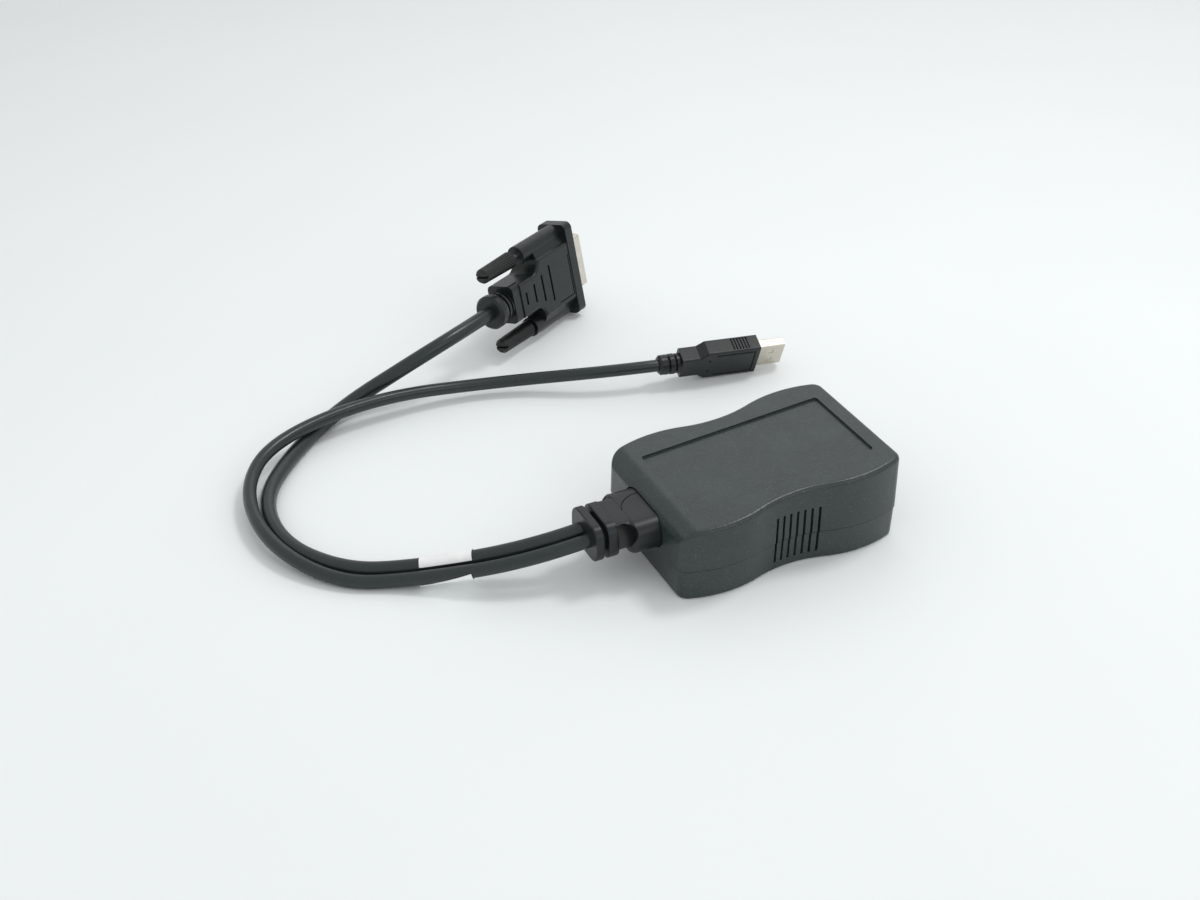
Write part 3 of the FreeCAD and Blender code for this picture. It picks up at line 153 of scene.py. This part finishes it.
def colour(name, description, default):
    """A colour setting with its default."""
    return bpy.props.FloatVectorProperty(
        name=name, description=description, default=default, size=3, min=0.0, max=1.0, subtype="COLOR",
    )


class DongleColours(bpy.types.PropertyGroup):
    """Colours of the finishes."""

    housing: colour("Housing", "Moulded housing plastic", (0.0225, 0.0320, 0.0316))
    boot: colour("Boots", "Rubber of the boots and strain reliefs", (0.0085, 0.0125, 0.0123))
    jacket: colour("Cord jacket", "Outer jacket of both cords", (0.0140, 0.0212, 0.0210))
    plug: colour("Plug bodies", "Moulded plug plastic", (0.0088, 0.0130, 0.0129))
    knob: colour("Thumbscrew knobs", "Knurled knob plastic", (0.0080, 0.0102, 0.0100))
    tag: colour("Tag", "Plain vinyl tag", (0.90, 0.915, 0.905))
    nickel: colour("Nickel", "Plating of the plug shells", (0.68, 0.64, 0.565))
    steel: colour("Steel", "Thumbscrew shanks", (0.66, 0.66, 0.64))
    gold: colour("Gold", "Plating of the contacts", (0.86, 0.62, 0.25))
    cream: colour("Insulator", "Moulding that holds the video pins", (0.78, 0.74, 0.64))
    board: colour("Board", "Solder mask of the circuit board", (0.02, 0.13, 0.055))
    floor: colour("Floor", "Pale surface below the dongle", (0.85, 0.876, 0.876))


# ----------------------------------------------------------------- materials
def begin(name):
    """A new material: the material, its tree, its surface shader and the place on the object."""
    made = bpy.data.materials.new(name)
    made.use_nodes = True
    tree = made.node_tree
    place = tree.nodes.new("ShaderNodeTexCoord")
    return made, tree, tree.nodes["Principled BSDF"], place.outputs["Object"]


def noise(tree, place, size, detail=2.0, stretch=None):
    """Cloudy values whose lumps have about the given size in metres."""
    if stretch is not None:
        squeeze = tree.nodes.new("ShaderNodeMapping")
        squeeze.inputs["Scale"].default_value = stretch
        tree.links.new(place, squeeze.inputs["Vector"])
        place = squeeze.outputs["Vector"]
    cloud = tree.nodes.new("ShaderNodeTexNoise")
    cloud.inputs["Scale"].default_value = 1.0 / size
    cloud.inputs["Detail"].default_value = detail
    tree.links.new(place, cloud.inputs["Vector"])
    return cloud.outputs[0]


def between(tree, value, low, high, start=0.0, end=1.0):
    """Spread the values from low to high over a new range."""
    spread = tree.nodes.new("ShaderNodeMapRange")
    spread.inputs["From Min"].default_value = low
    spread.inputs["From Max"].default_value = high
    spread.inputs["To Min"].default_value = start
    spread.inputs["To Max"].default_value = end
    tree.links.new(value, spread.inputs["Value"])
    return spread.outputs["Result"]


def tint(tree, value, first, second):
    """A colour that goes from the first to the second with the value."""
    mix = tree.nodes.new("ShaderNodeMix")
    mix.data_type = "RGBA"
    mix.inputs["A"].default_value = (*first, 1.0)
    mix.inputs["B"].default_value = (*second, 1.0)
    tree.links.new(value, mix.inputs["Factor"])
    return mix.outputs["Result"]


def relief(tree, height, depth, strength=1.0, below=None):
    """A bump from a height, laid over another normal."""
    bump = tree.nodes.new("ShaderNodeBump")
    bump.inputs["Strength"].default_value = strength
    bump.inputs["Distance"].default_value = depth
    tree.links.new(height, bump.inputs["Height"])
    if below is not None:
        tree.links.new(below, bump.inputs["Normal"])
    return bump.outputs["Normal"]


def soft_edges(tree, radius):
    """A normal that rounds the hard edges of a solid."""
    bevel = tree.nodes.new("ShaderNodeBevel")
    bevel.samples = 4
    bevel.inputs["Radius"].default_value = radius
    return bevel.outputs["Normal"]


def lighter(shade, times):
    """The same colour, lighter or darker."""
    return tuple(min(1.0, part * times) for part in shade)


def painted_seam_shade(tree, place, skin, height):
    """Paint a dark hairline round the piece at one height: painted shade standing in for the shadow in the
    seam.
    """
    split = tree.nodes.new("ShaderNodeSeparateXYZ")
    tree.links.new(place, split.inputs["Vector"])
    above = tree.nodes.new("ShaderNodeMath")
    above.operation = "SUBTRACT"
    above.inputs[1].default_value = height
    tree.links.new(split.outputs["Z"], above.inputs[0])
    away = tree.nodes.new("ShaderNodeMath")
    away.operation = "ABSOLUTE"
    tree.links.new(above.outputs["Value"], away.inputs[0])
    # Painted shade: the near-black colour laid along the seam's height.
    line = tree.nodes.new("ShaderNodeMix")
    line.data_type = "RGBA"
    line.inputs["B"].default_value = (0.002, 0.003, 0.003, 1.0)
    tree.links.new(between(tree, away.outputs["Value"], 0.00015, 0.00040, 1.0, 0.0), line.inputs["Factor"])
    tree.links.new(skin, line.inputs["A"])
    return line.outputs["Result"]


def moulded_plastic(name, shade, grain, depth, gloss, edge, shade_line_height=None, shine=0.5):
    """Spark-finished moulded plastic: fine grain, faint clouds of rubbed shine and a little dust."""
    made, tree, surface, place = begin(name)
    clouds = noise(tree, place, 0.012, 3.0)
    rubbed = noise(tree, place, 0.0035, 4.0)
    fine = noise(tree, place, grain, 2.0)
    shades = tint(tree, between(tree, clouds, 0.3, 0.7), lighter(shade, 0.86), lighter(shade, 1.16))
    specks = between(tree, noise(tree, place, 0.0006, 1.0), 0.60, 0.74)
    dusty = tree.nodes.new("ShaderNodeMix")
    dusty.data_type = "RGBA"
    dusty.inputs["B"].default_value = (*lighter(shade, 2.2), 1.0)
    tree.links.new(specks, dusty.inputs["Factor"])
    tree.links.new(shades, dusty.inputs["A"])
    surface.inputs["Specular IOR Level"].default_value = shine
    skin = dusty.outputs["Result"]
    # Painted shade: a dark hairline at the seam's height, when one is given.
    if shade_line_height is not None:
        skin = painted_seam_shade(tree, place, skin, shade_line_height)
    tree.links.new(skin, surface.inputs["Base Color"])
    tree.links.new(between(tree, rubbed, 0.25, 0.75, gloss + 0.05, gloss - 0.05), surface.inputs["Roughness"])
    tree.links.new(relief(tree, fine, depth, 0.6, soft_edges(tree, edge)), surface.inputs["Normal"])
    return made


def rubber_skin(name, shade, edge):
    """Soft moulded rubber, smoother than the housing, with faint flow marks."""
    made, tree, surface, place = begin(name)
    flow = noise(tree, place, 0.006, 3.0, stretch=(0.35, 1.0, 1.0))
    fine = noise(tree, place, 0.0006, 2.0)
    tree.links.new(tint(tree, between(tree, flow, 0.3, 0.7), lighter(shade, 0.85), lighter(shade, 1.2)),
                   surface.inputs["Base Color"])
    surface.inputs["Specular IOR Level"].default_value = 0.4
    tree.links.new(between(tree, flow, 0.3, 0.7, 0.30, 0.40), surface.inputs["Roughness"])
    tree.links.new(relief(tree, fine, 0.00004, 0.5, soft_edges(tree, edge)), surface.inputs["Normal"])
    return made


def jacket_skin(name, shade):
    """Extruded cord jacket: satin, with soft waves left by the wires inside and light scuffs."""
    made, tree, surface, place = begin(name)
    waves = noise(tree, place, 0.009, 2.0)
    scuffs = between(tree, noise(tree, place, 0.0016, 4.0), 0.55, 0.75)
    fine = noise(tree, place, 0.00035, 2.0)
    tree.links.new(tint(tree, scuffs, shade, lighter(shade, 1.45)), surface.inputs["Base Color"])
    tree.links.new(between(tree, waves, 0.3, 0.7, 0.26, 0.34), surface.inputs["Roughness"])
    low = relief(tree, waves, 0.0004, 0.35)
    tree.links.new(relief(tree, fine, 0.00003, 0.5, low), surface.inputs["Normal"])
    return made


def tag_vinyl(name, shade):
    """Plain white vinyl with soft creases where it is folded round the cords."""
    made, tree, surface, place = begin(name)
    creases = noise(tree, place, 0.004, 3.0)
    fine = noise(tree, place, 0.0005, 2.0)
    tree.links.new(tint(tree, between(tree, creases, 0.3, 0.7), lighter(shade, 0.95), lighter(shade, 1.02)),
                   surface.inputs["Base Color"])
    surface.inputs["Roughness"].default_value = 0.5
    low = relief(tree, creases, 0.0005, 0.5)
    tree.links.new(relief(tree, fine, 0.00003, 0.4, low), surface.inputs["Normal"])
    return made


def plated(name, shade, gloss, edge, brushed=(1.0, 1.0, 1.0)):
    """Plated metal with faint drawing marks and patches of duller plating."""
    made, tree, surface, place = begin(name)
    lines = noise(tree, place, 0.0004, 3.0, stretch=brushed)
    patches = noise(tree, place, 0.003, 3.0)
    surface.inputs["Metallic"].default_value = 1.0
    tree.links.new(tint(tree, between(tree, patches, 0.3, 0.7), lighter(shade, 0.9), lighter(shade, 1.06)),
                   surface.inputs["Base Color"])
    tree.links.new(between(tree, patches, 0.3, 0.7, gloss - 0.05, gloss + 0.08), surface.inputs["Roughness"])
    tree.links.new(relief(tree, lines, 0.00002, 0.5, soft_edges(tree, edge)), surface.inputs["Normal"])
    return made


def board_laminate(name, shade):
    """Solder mask over faint copper tracks on a glass-cloth board."""
    made, tree, surface, place = begin(name)
    cloth = noise(tree, place, 0.0004, 1.0)
    tracks = tree.nodes.new("ShaderNodeTexBrick")
    tracks.inputs["Scale"].default_value = 160.0
    tracks.inputs["Mortar Size"].default_value = 0.06
    tracks.inputs["Color1"].default_value = (*shade, 1.0)
    tracks.inputs["Color2"].default_value = (*lighter(shade, 1.2), 1.0)
    tracks.inputs["Mortar"].default_value = (*lighter(shade, 1.8), 1.0)
    tree.links.new(place, tracks.inputs["Vector"])
    tree.links.new(tracks.outputs["Color"], surface.inputs["Base Color"])
    surface.inputs["Roughness"].default_value = 0.3
    tree.links.new(relief(tree, cloth, 0.00002, 0.4), surface.inputs["Normal"])
    return made


def floor_paper(name, shade):
    """Matt pale surface with very faint mottling and a painted pool of light: lighter near the dongle, darker
    farther out.
    """
    made, tree, surface, place = begin(name)
    mottle = noise(tree, place, 0.15, 3.0)
    # Painted light: the paper's colour falls from lighter near a point just in front of the dongle to darker
    # farther out.
    reach = tree.nodes.new("ShaderNodeVectorMath")
    reach.operation = "DISTANCE"
    reach.inputs[1].default_value = (0.0, -0.1, 0.0)
    tree.links.new(place, reach.inputs[0])
    painted_falloff = between(tree, reach.outputs["Value"], 0.30, 0.95)
    paper = tint(tree, painted_falloff, lighter(shade, 1.06), lighter(shade, 0.84))
    cloudy = tree.nodes.new("ShaderNodeMix")
    cloudy.data_type = "RGBA"
    cloudy.blend_type = "MULTIPLY"
    cloudy.inputs["Factor"].default_value = 1.0
    tree.links.new(paper, cloudy.inputs["A"])
    tree.links.new(tint(tree, between(tree, mottle, 0.3, 0.7), (0.985, 0.985, 0.985), (1.0, 1.0, 1.0)),
                   cloudy.inputs["B"])
    tree.links.new(cloudy.outputs["Result"], surface.inputs["Base Color"])
    surface.inputs["Roughness"].default_value = 0.75
    surface.inputs["Specular IOR Level"].default_value = 0.15
    return made


def dress(finish, *names):
    """Put one finish on CAD nodes."""
    for name in names:
        slots = NODES[name].material_slots
        if len(slots) == 0:
            NODES[name].data.materials.append(finish)
        for place in slots:
            place.material = finish


def smooth_line(name, route):
    """A smooth curve guided by a route's points."""
    line = bpy.data.curves.new(name, "CURVE")
    line.dimensions = "3D"
    line.resolution_u = 16
    strand = line.splines.new("NURBS")
    strand.points.add(len(route) - 1)
    for point, spot in zip(strand.points, route):
        point.co = (*spot, 1.0)
    strand.order_u = 3
    strand.use_endpoint_u = True
    return line


def lay_cord(name, route, gauge, finish):
    """A round cord along a smooth line guided by its route."""
    line = smooth_line(name, route)
    line.bevel_depth = gauge / 2
    line.bevel_resolution = 6
    line.use_fill_caps = True
    cord = bpy.data.objects.new(name, line)
    bpy.context.scene.collection.objects.link(cord)
    line.materials.append(finish)
    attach(cord, "dongle")
    return cord


def cord_line(route):
    """The points that a cord's smooth line runs through."""
    line = smooth_line("guide", route)
    guide = bpy.data.objects.new("guide", line)
    mesh = bpy.data.meshes.new_from_object(guide)
    points = [corner.co.copy() for corner in mesh.vertices]
    bpy.data.objects.remove(guide)
    bpy.data.curves.remove(line)
    bpy.data.meshes.remove(mesh)
    return points


def along(points, reach):
    """The place that lies the given length along a line."""
    for here, there in zip(points, points[1:]):
        step = (there - here).length
        if reach <= step:
            return here.lerp(there, reach / step)
        reach -= step
    return points[-1].copy()


def nearest(points, spot):
    """The place on a line that is nearest to a spot."""
    best = None
    for here, there in zip(points, points[1:]):
        run = there - here
        share = max(0.0, min(1.0, (spot - here).dot(run) / run.length_squared))
        place = here + run * share
        if best is None or (place - spot).length < (best - spot).length:
            best = place
    return best


def arc(middle, radius, first, last, steps):
    """Points of an arc in a section, from the first angle to the last in degrees."""
    turns = [math.radians(first + (last - first) * step / steps) for step in range(steps + 1)]
    return [(middle[0] + radius * math.cos(turn), middle[1] + radius * math.sin(turn)) for turn in turns]


def tag_section(usb, sizes, lip, loose):
    """One side of the tag's section: over the rear cord, under both and up the front one to the lip."""
    rear = sizes.video_gauge / 2 + loose
    front = sizes.usb_gauge / 2 + loose
    over = arc((0.0, 0.0), rear, TAG_TOP, TAG_BOTTOM, 32)
    return over + arc(usb, front, TAG_BOTTOM, TAG_BOTTOM + lip, 10)


def wrap_tag(name, sizes):
    """A strip of vinyl folded round the rear cord and under the front one."""
    rear_line = cord_line(VIDEO_ROUTE)
    front_line = cord_line(USB_ROUTE)
    mesh = bmesh.new()
    rings = []
    for step in range(TAG_STATIONS + 1):
        share = step / TAG_STATIONS
        reach = sizes.tag_start + sizes.tag_length * share
        spot = along(rear_line, reach)
        run = (along(rear_line, reach + TAG_AIM) - along(rear_line, reach - TAG_AIM)).normalized()
        other = nearest(front_line, spot) - spot
        side = other - run * other.dot(run)
        side.z = 0.0
        side = (side - run * side.dot(run)).normalized()
        rise = side.cross(run) if side.cross(run).z > 0 else run.cross(side)
        usb = (other.dot(side), other.dot(rise))
        lip = LIP_AT_BOOT + (LIP_AT_LOOP - LIP_AT_BOOT) * share
        loose = TAG_SLACK + TAG_WAVE * math.sin(7.0 * share + 0.6)
        inner = tag_section(usb, sizes, lip, loose)
        outer = tag_section(usb, sizes, lip, loose + sizes.tag_skin)
        loop = outer + inner[::-1]
        rings.append([mesh.verts.new(spot + side * across + rise * up) for across, up in loop])
    for back, front in zip(rings, rings[1:]):
        for here in range(len(back)):
            there = (here + 1) % len(back)
            mesh.faces.new((back[here], back[there], front[there], front[here]))
    for ring in (rings[0], rings[-1]):
        half = len(ring) // 2
        for here in range(half - 1):
            mesh.faces.new((ring[here], ring[here + 1], ring[-2 - here], ring[-1 - here]))
    bmesh.ops.recalc_face_normals(mesh, faces=mesh.faces[:])
    for face in mesh.faces:
        face.smooth = True
    for edge in mesh.edges:
        if edge.calc_face_angle(0.0) > SHARP_FOLD:
            edge.smooth = False
    made = bpy.data.meshes.new(name)
    mesh.to_mesh(made)
    mesh.free()
    tag = bpy.data.objects.new(name, made)
    bpy.context.scene.collection.objects.link(tag)
    return tag


def softbox(name, spot, aim, size, power, shade):
    """A large soft lamp that looks at a point."""
    lamp = bpy.data.lights.new(name, "AREA")
    lamp.shape = "RECTANGLE"
    lamp.size, lamp.size_y = size
    lamp.energy = power
    lamp.color = shade
    holder = bpy.data.objects.new(name, lamp)
    bpy.context.scene.collection.objects.link(holder)
    holder.location = spot
    holder.rotation_euler = (Vector(aim) - Vector(spot)).to_track_quat("-Z", "Y").to_euler()
    return holder


# ----------------------------------------------------------------- operators
class DONGLE_OT_camera(bpy.types.Operator):
    """Place the camera over the cord end of the dongle"""

    bl_idname = "dongle.camera"
    bl_label = "Place Camera"

    def execute(self, context):
        eye = bpy.data.cameras.new("camera")
        eye.lens = context.scene.dongle_sizes.lens
        eye.sensor_width = 36.0
        eye.clip_start = 0.01
        eye.clip_end = 50.0
        stand = bpy.data.objects.new("camera", eye)
        stand.location = CAMERA_SPOT
        stand.rotation_euler = (math.radians(CAMERA_TILT), 0.0, math.radians(CAMERA_TURN))
        context.scene.collection.objects.link(stand)
        context.scene.camera = stand
        return {"FINISHED"}


class DONGLE_OT_cords(bpy.types.Operator):
    """Lay both free cords from the boot to their plugs"""

    bl_idname = "dongle.cords"
    bl_label = "Lay Cords"

    def execute(self, context):
        sizes = context.scene.dongle_sizes
        finish = jacket_skin("cord jacket", context.scene.dongle_colours.jacket)
        usb = lay_cord("usb_lead", USB_ROUTE, sizes.usb_gauge, finish)
        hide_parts("usb_cord")
        video = lay_cord("video_lead", VIDEO_ROUTE, sizes.video_gauge, finish)
        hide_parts("video_cord")
        return {"FINISHED"}


class DONGLE_OT_housing(bpy.types.Operator):
    """Finish the two covers of the housing"""

    bl_idname = "dongle.housing"
    bl_label = "Finish Housing"

    def execute(self, context):
        sizes = context.scene.dongle_sizes
        shade = context.scene.dongle_colours.housing
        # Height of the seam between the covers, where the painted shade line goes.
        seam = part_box("bottom_cover")[1].z - 0.0001
        dress(moulded_plastic("housing plastic", shade, sizes.grain, 0.00009, 0.31, sizes.edge_round, seam),
              "top_cover", "bottom_cover")
        return {"FINISHED"}


class DONGLE_OT_boots(bpy.types.Operator):
    """Finish the cable boot and the strain reliefs of both plugs"""

    bl_idname = "dongle.boots"
    bl_label = "Finish Boots"

    def execute(self, context):
        edge = context.scene.dongle_sizes.edge_round
        shade = context.scene.dongle_colours.boot
        dress(rubber_skin("boot rubber", shade, edge * 1.5), "cable_boot", "dvi_boot", "usb_boot")
        return {"FINISHED"}


class DONGLE_OT_tag(bpy.types.Operator):
    """Wrap the plain tag round both cords"""

    bl_idname = "dongle.tag"
    bl_label = "Wrap Tag"

    def execute(self, context):
        tag = wrap_tag("wrapped_tag", context.scene.dongle_sizes)
        tag.data.materials.append(tag_vinyl("tag vinyl", context.scene.dongle_colours.tag))
        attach(tag, "dongle")
        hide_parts("cord_tag")
        return {"FINISHED"}


class DONGLE_OT_cord_facts(bpy.types.Operator):
    """A step that does nothing: it states no facts about the cords"""

    bl_idname = "dongle.cord_facts"
    bl_label = "State Cord Facts"

    def execute(self, context):
        return {"FINISHED"}


class DONGLE_OT_video_plug(bpy.types.Operator):
    """Finish the video plug: hood, shell, insulator and pins"""

    bl_idname = "dongle.video_plug"
    bl_label = "Finish Video Plug"

    def execute(self, context):
        sizes = context.scene.dongle_sizes
        shades = context.scene.dongle_colours
        dress(moulded_plastic("hood plastic", shades.plug, sizes.grain * 0.8, 0.00006, 0.30,
                              sizes.edge_round, shine=0.36),
              "dvi_hood")
        dress(plated("shell nickel", shades.nickel, 0.3, 0.00015), "dvi_shell")
        dress(moulded_plastic("insulator plastic", shades.cream, 0.0005, 0.00003, 0.5, 0.0001), "dvi_insulator")
        dress(plated("pin gold", shades.gold, 0.25, 0.0001), "dvi_pins")
        return {"FINISHED"}


class DONGLE_OT_thumbscrews(bpy.types.Operator):
    """Finish the knobs and shanks of the two thumbscrews"""

    bl_idname = "dongle.thumbscrews"
    bl_label = "Finish Thumbscrews"

    def execute(self, context):
        shades = context.scene.dongle_colours
        dress(moulded_plastic("knob plastic", shades.knob, 0.0004, 0.00005, 0.36, 0.00012, shine=0.40),
              "upper_knob", "lower_knob")
        dress(plated("shank steel", shades.steel, 0.28, 0.0001), "upper_screw", "lower_screw")
        return {"FINISHED"}


class DONGLE_OT_usb_plug(bpy.types.Operator):
    """Finish the USB plug: overmould, shell, tongue and contacts"""

    bl_idname = "dongle.usb_plug"
    bl_label = "Finish USB Plug"

    def execute(self, context):
        sizes = context.scene.dongle_sizes
        shades = context.scene.dongle_colours
        dress(moulded_plastic("grip plastic", shades.plug, sizes.grain * 0.8, 0.00006, 0.33,
                              sizes.edge_round, shine=0.40),
              "usb_overmould")
        dress(plated("usb nickel", lighter(shades.nickel, 0.92), 0.4, 0.00012, brushed=(0.2, 1.0, 1.0)),
              "usb_shell")
        dress(moulded_plastic("tongue plastic", shades.knob, 0.0004, 0.00003, 0.45, 0.0001), "usb_tongue")
        dress(plated("strip gold", shades.gold, 0.25, 0.0001), "usb_contacts")
        return {"FINISHED"}


class DONGLE_OT_network_socket(bpy.types.Operator):
    """Finish the network socket: shield, insert and contacts"""

    bl_idname = "dongle.network_socket"
    bl_label = "Finish Network Socket"

    def execute(self, context):
        shades = context.scene.dongle_colours
        dress(plated("shield tin", lighter(shades.steel, 1.05), 0.34, 0.00015, brushed=(0.2, 1.0, 1.0)),
              "jack_shield")
        dress(moulded_plastic("insert plastic", shades.knob, 0.0004, 0.00004, 0.45, 0.00012), "jack_insert")
        dress(plated("wire gold", shades.gold, 0.22, 0.00008), "jack_contacts")
        return {"FINISHED"}


class DONGLE_OT_electronics(bpy.types.Operator):
    """Finish what is inside the housing and the screws that close it"""

    bl_idname = "dongle.electronics"
    bl_label = "Finish Electronics"

    def execute(self, context):
        shades = context.scene.dongle_colours
        dress(board_laminate("board laminate", shades.board), "circuit_board")
        dress(moulded_plastic("chip resin", shades.knob, 0.0003, 0.00003, 0.5, 0.0001),
              "video_chip", "line_filter")
        dress(plated("case screw zinc", lighter(shades.steel, 0.12), 0.38, 0.0001),
              "case_screw_1", "case_screw_2", "case_screw_3", "case_screw_4")
        return {"FINISHED"}


class DONGLE_OT_stage(bpy.types.Operator):
    """Set the pale floor, the sky light and the soft lamps"""

    bl_idname = "dongle.stage"
    bl_label = "Set Stage"

    def execute(self, context):
        scene = context.scene
        sheet = bpy.data.meshes.new("floor")
        far = FLOOR_REACH
        sheet.from_pydata([(-far, -far, 0), (far, -far, 0), (far, far, 0), (-far, far, 0)], [], [(0, 1, 2, 3)])
        sheet.materials.append(floor_paper("floor paper", scene.dongle_colours.floor))
        floor = bpy.data.objects.new("floor", sheet)
        scene.collection.objects.link(floor)
        sky = bpy.data.worlds.new("sky")
        sky.use_nodes = True
        back = sky.node_tree.nodes["Background"]
        back.inputs["Color"].default_value = (0.98, 0.995, 1.0, 1.0)
        back.inputs["Strength"].default_value = SKY_STRENGTH
        scene.world = sky
        softbox("key lamp", (0.66, 0.10, 1.35), (0.0, 0.0, 0.0), (0.32, 0.32), 5.2, (1.0, 1.0, 1.0))
        softbox("sheen lamp", (0.65, 1.0, 0.9), (0.0, 0.0, 0.0), (0.9, 0.6), 0.9, (1.0, 1.0, 1.0))
        softbox("fill lamp", (0.5, -1.3, 0.9), (0.0, 0.0, 0.0), (1.0, 0.6), 1.7, (0.98, 1.0, 1.0))
        scene.view_settings.view_transform = "Standard"
        return {"FINISHED"}


class DONGLE_PT_panel(bpy.types.Panel):
    """Lists the steps that dress the dongle"""

    bl_idname = "DONGLE_PT_panel"
    bl_label = "Dongle"
    bl_space_type = "VIEW_3D"
    bl_region_type = "UI"
    bl_category = "Dongle"

    def draw(self, context):
        layout = self.layout
        for group in (context.scene.dongle_sizes, context.scene.dongle_colours):
            column = layout.column(align=True)
            for name in group.__annotations__:
                column.prop(group, name)
        for step in STEPS:
            layout.operator(step.bl_idname)


STEPS = (
    DONGLE_OT_camera,
    DONGLE_OT_cords,
    DONGLE_OT_tag,
    DONGLE_OT_cord_facts,
    DONGLE_OT_housing,
    DONGLE_OT_boots,
    DONGLE_OT_video_plug,
    DONGLE_OT_thumbscrews,
    DONGLE_OT_usb_plug,
    DONGLE_OT_network_socket,
    DONGLE_OT_electronics,
    DONGLE_OT_stage,
)
CLASSES = (DongleSizes, DongleColours, *STEPS, DONGLE_PT_panel)


def register():
    for made in CLASSES:
        bpy.utils.register_class(made)
    bpy.types.Scene.dongle_sizes = bpy.props.PointerProperty(type=DongleSizes)
    bpy.types.Scene.dongle_colours = bpy.props.PointerProperty(type=DongleColours)


def unregister():
    del bpy.types.Scene.dongle_colours
    del bpy.types.Scene.dongle_sizes
    for made in reversed(CLASSES):
        bpy.utils.unregister_class(made)


def main():
    register()
    bpy.ops.dongle.camera()
    bpy.ops.dongle.cords()
    bpy.ops.dongle.tag()
    bpy.ops.dongle.cord_facts()
    bpy.ops.dongle.housing()
    bpy.ops.dongle.boots()
    bpy.ops.dongle.video_plug()
    bpy.ops.dongle.thumbscrews()
    bpy.ops.dongle.usb_plug()
    bpy.ops.dongle.network_socket()
    bpy.ops.dongle.electronics()
    bpy.ops.dongle.stage()


if __name__ == "__main__":
    main()
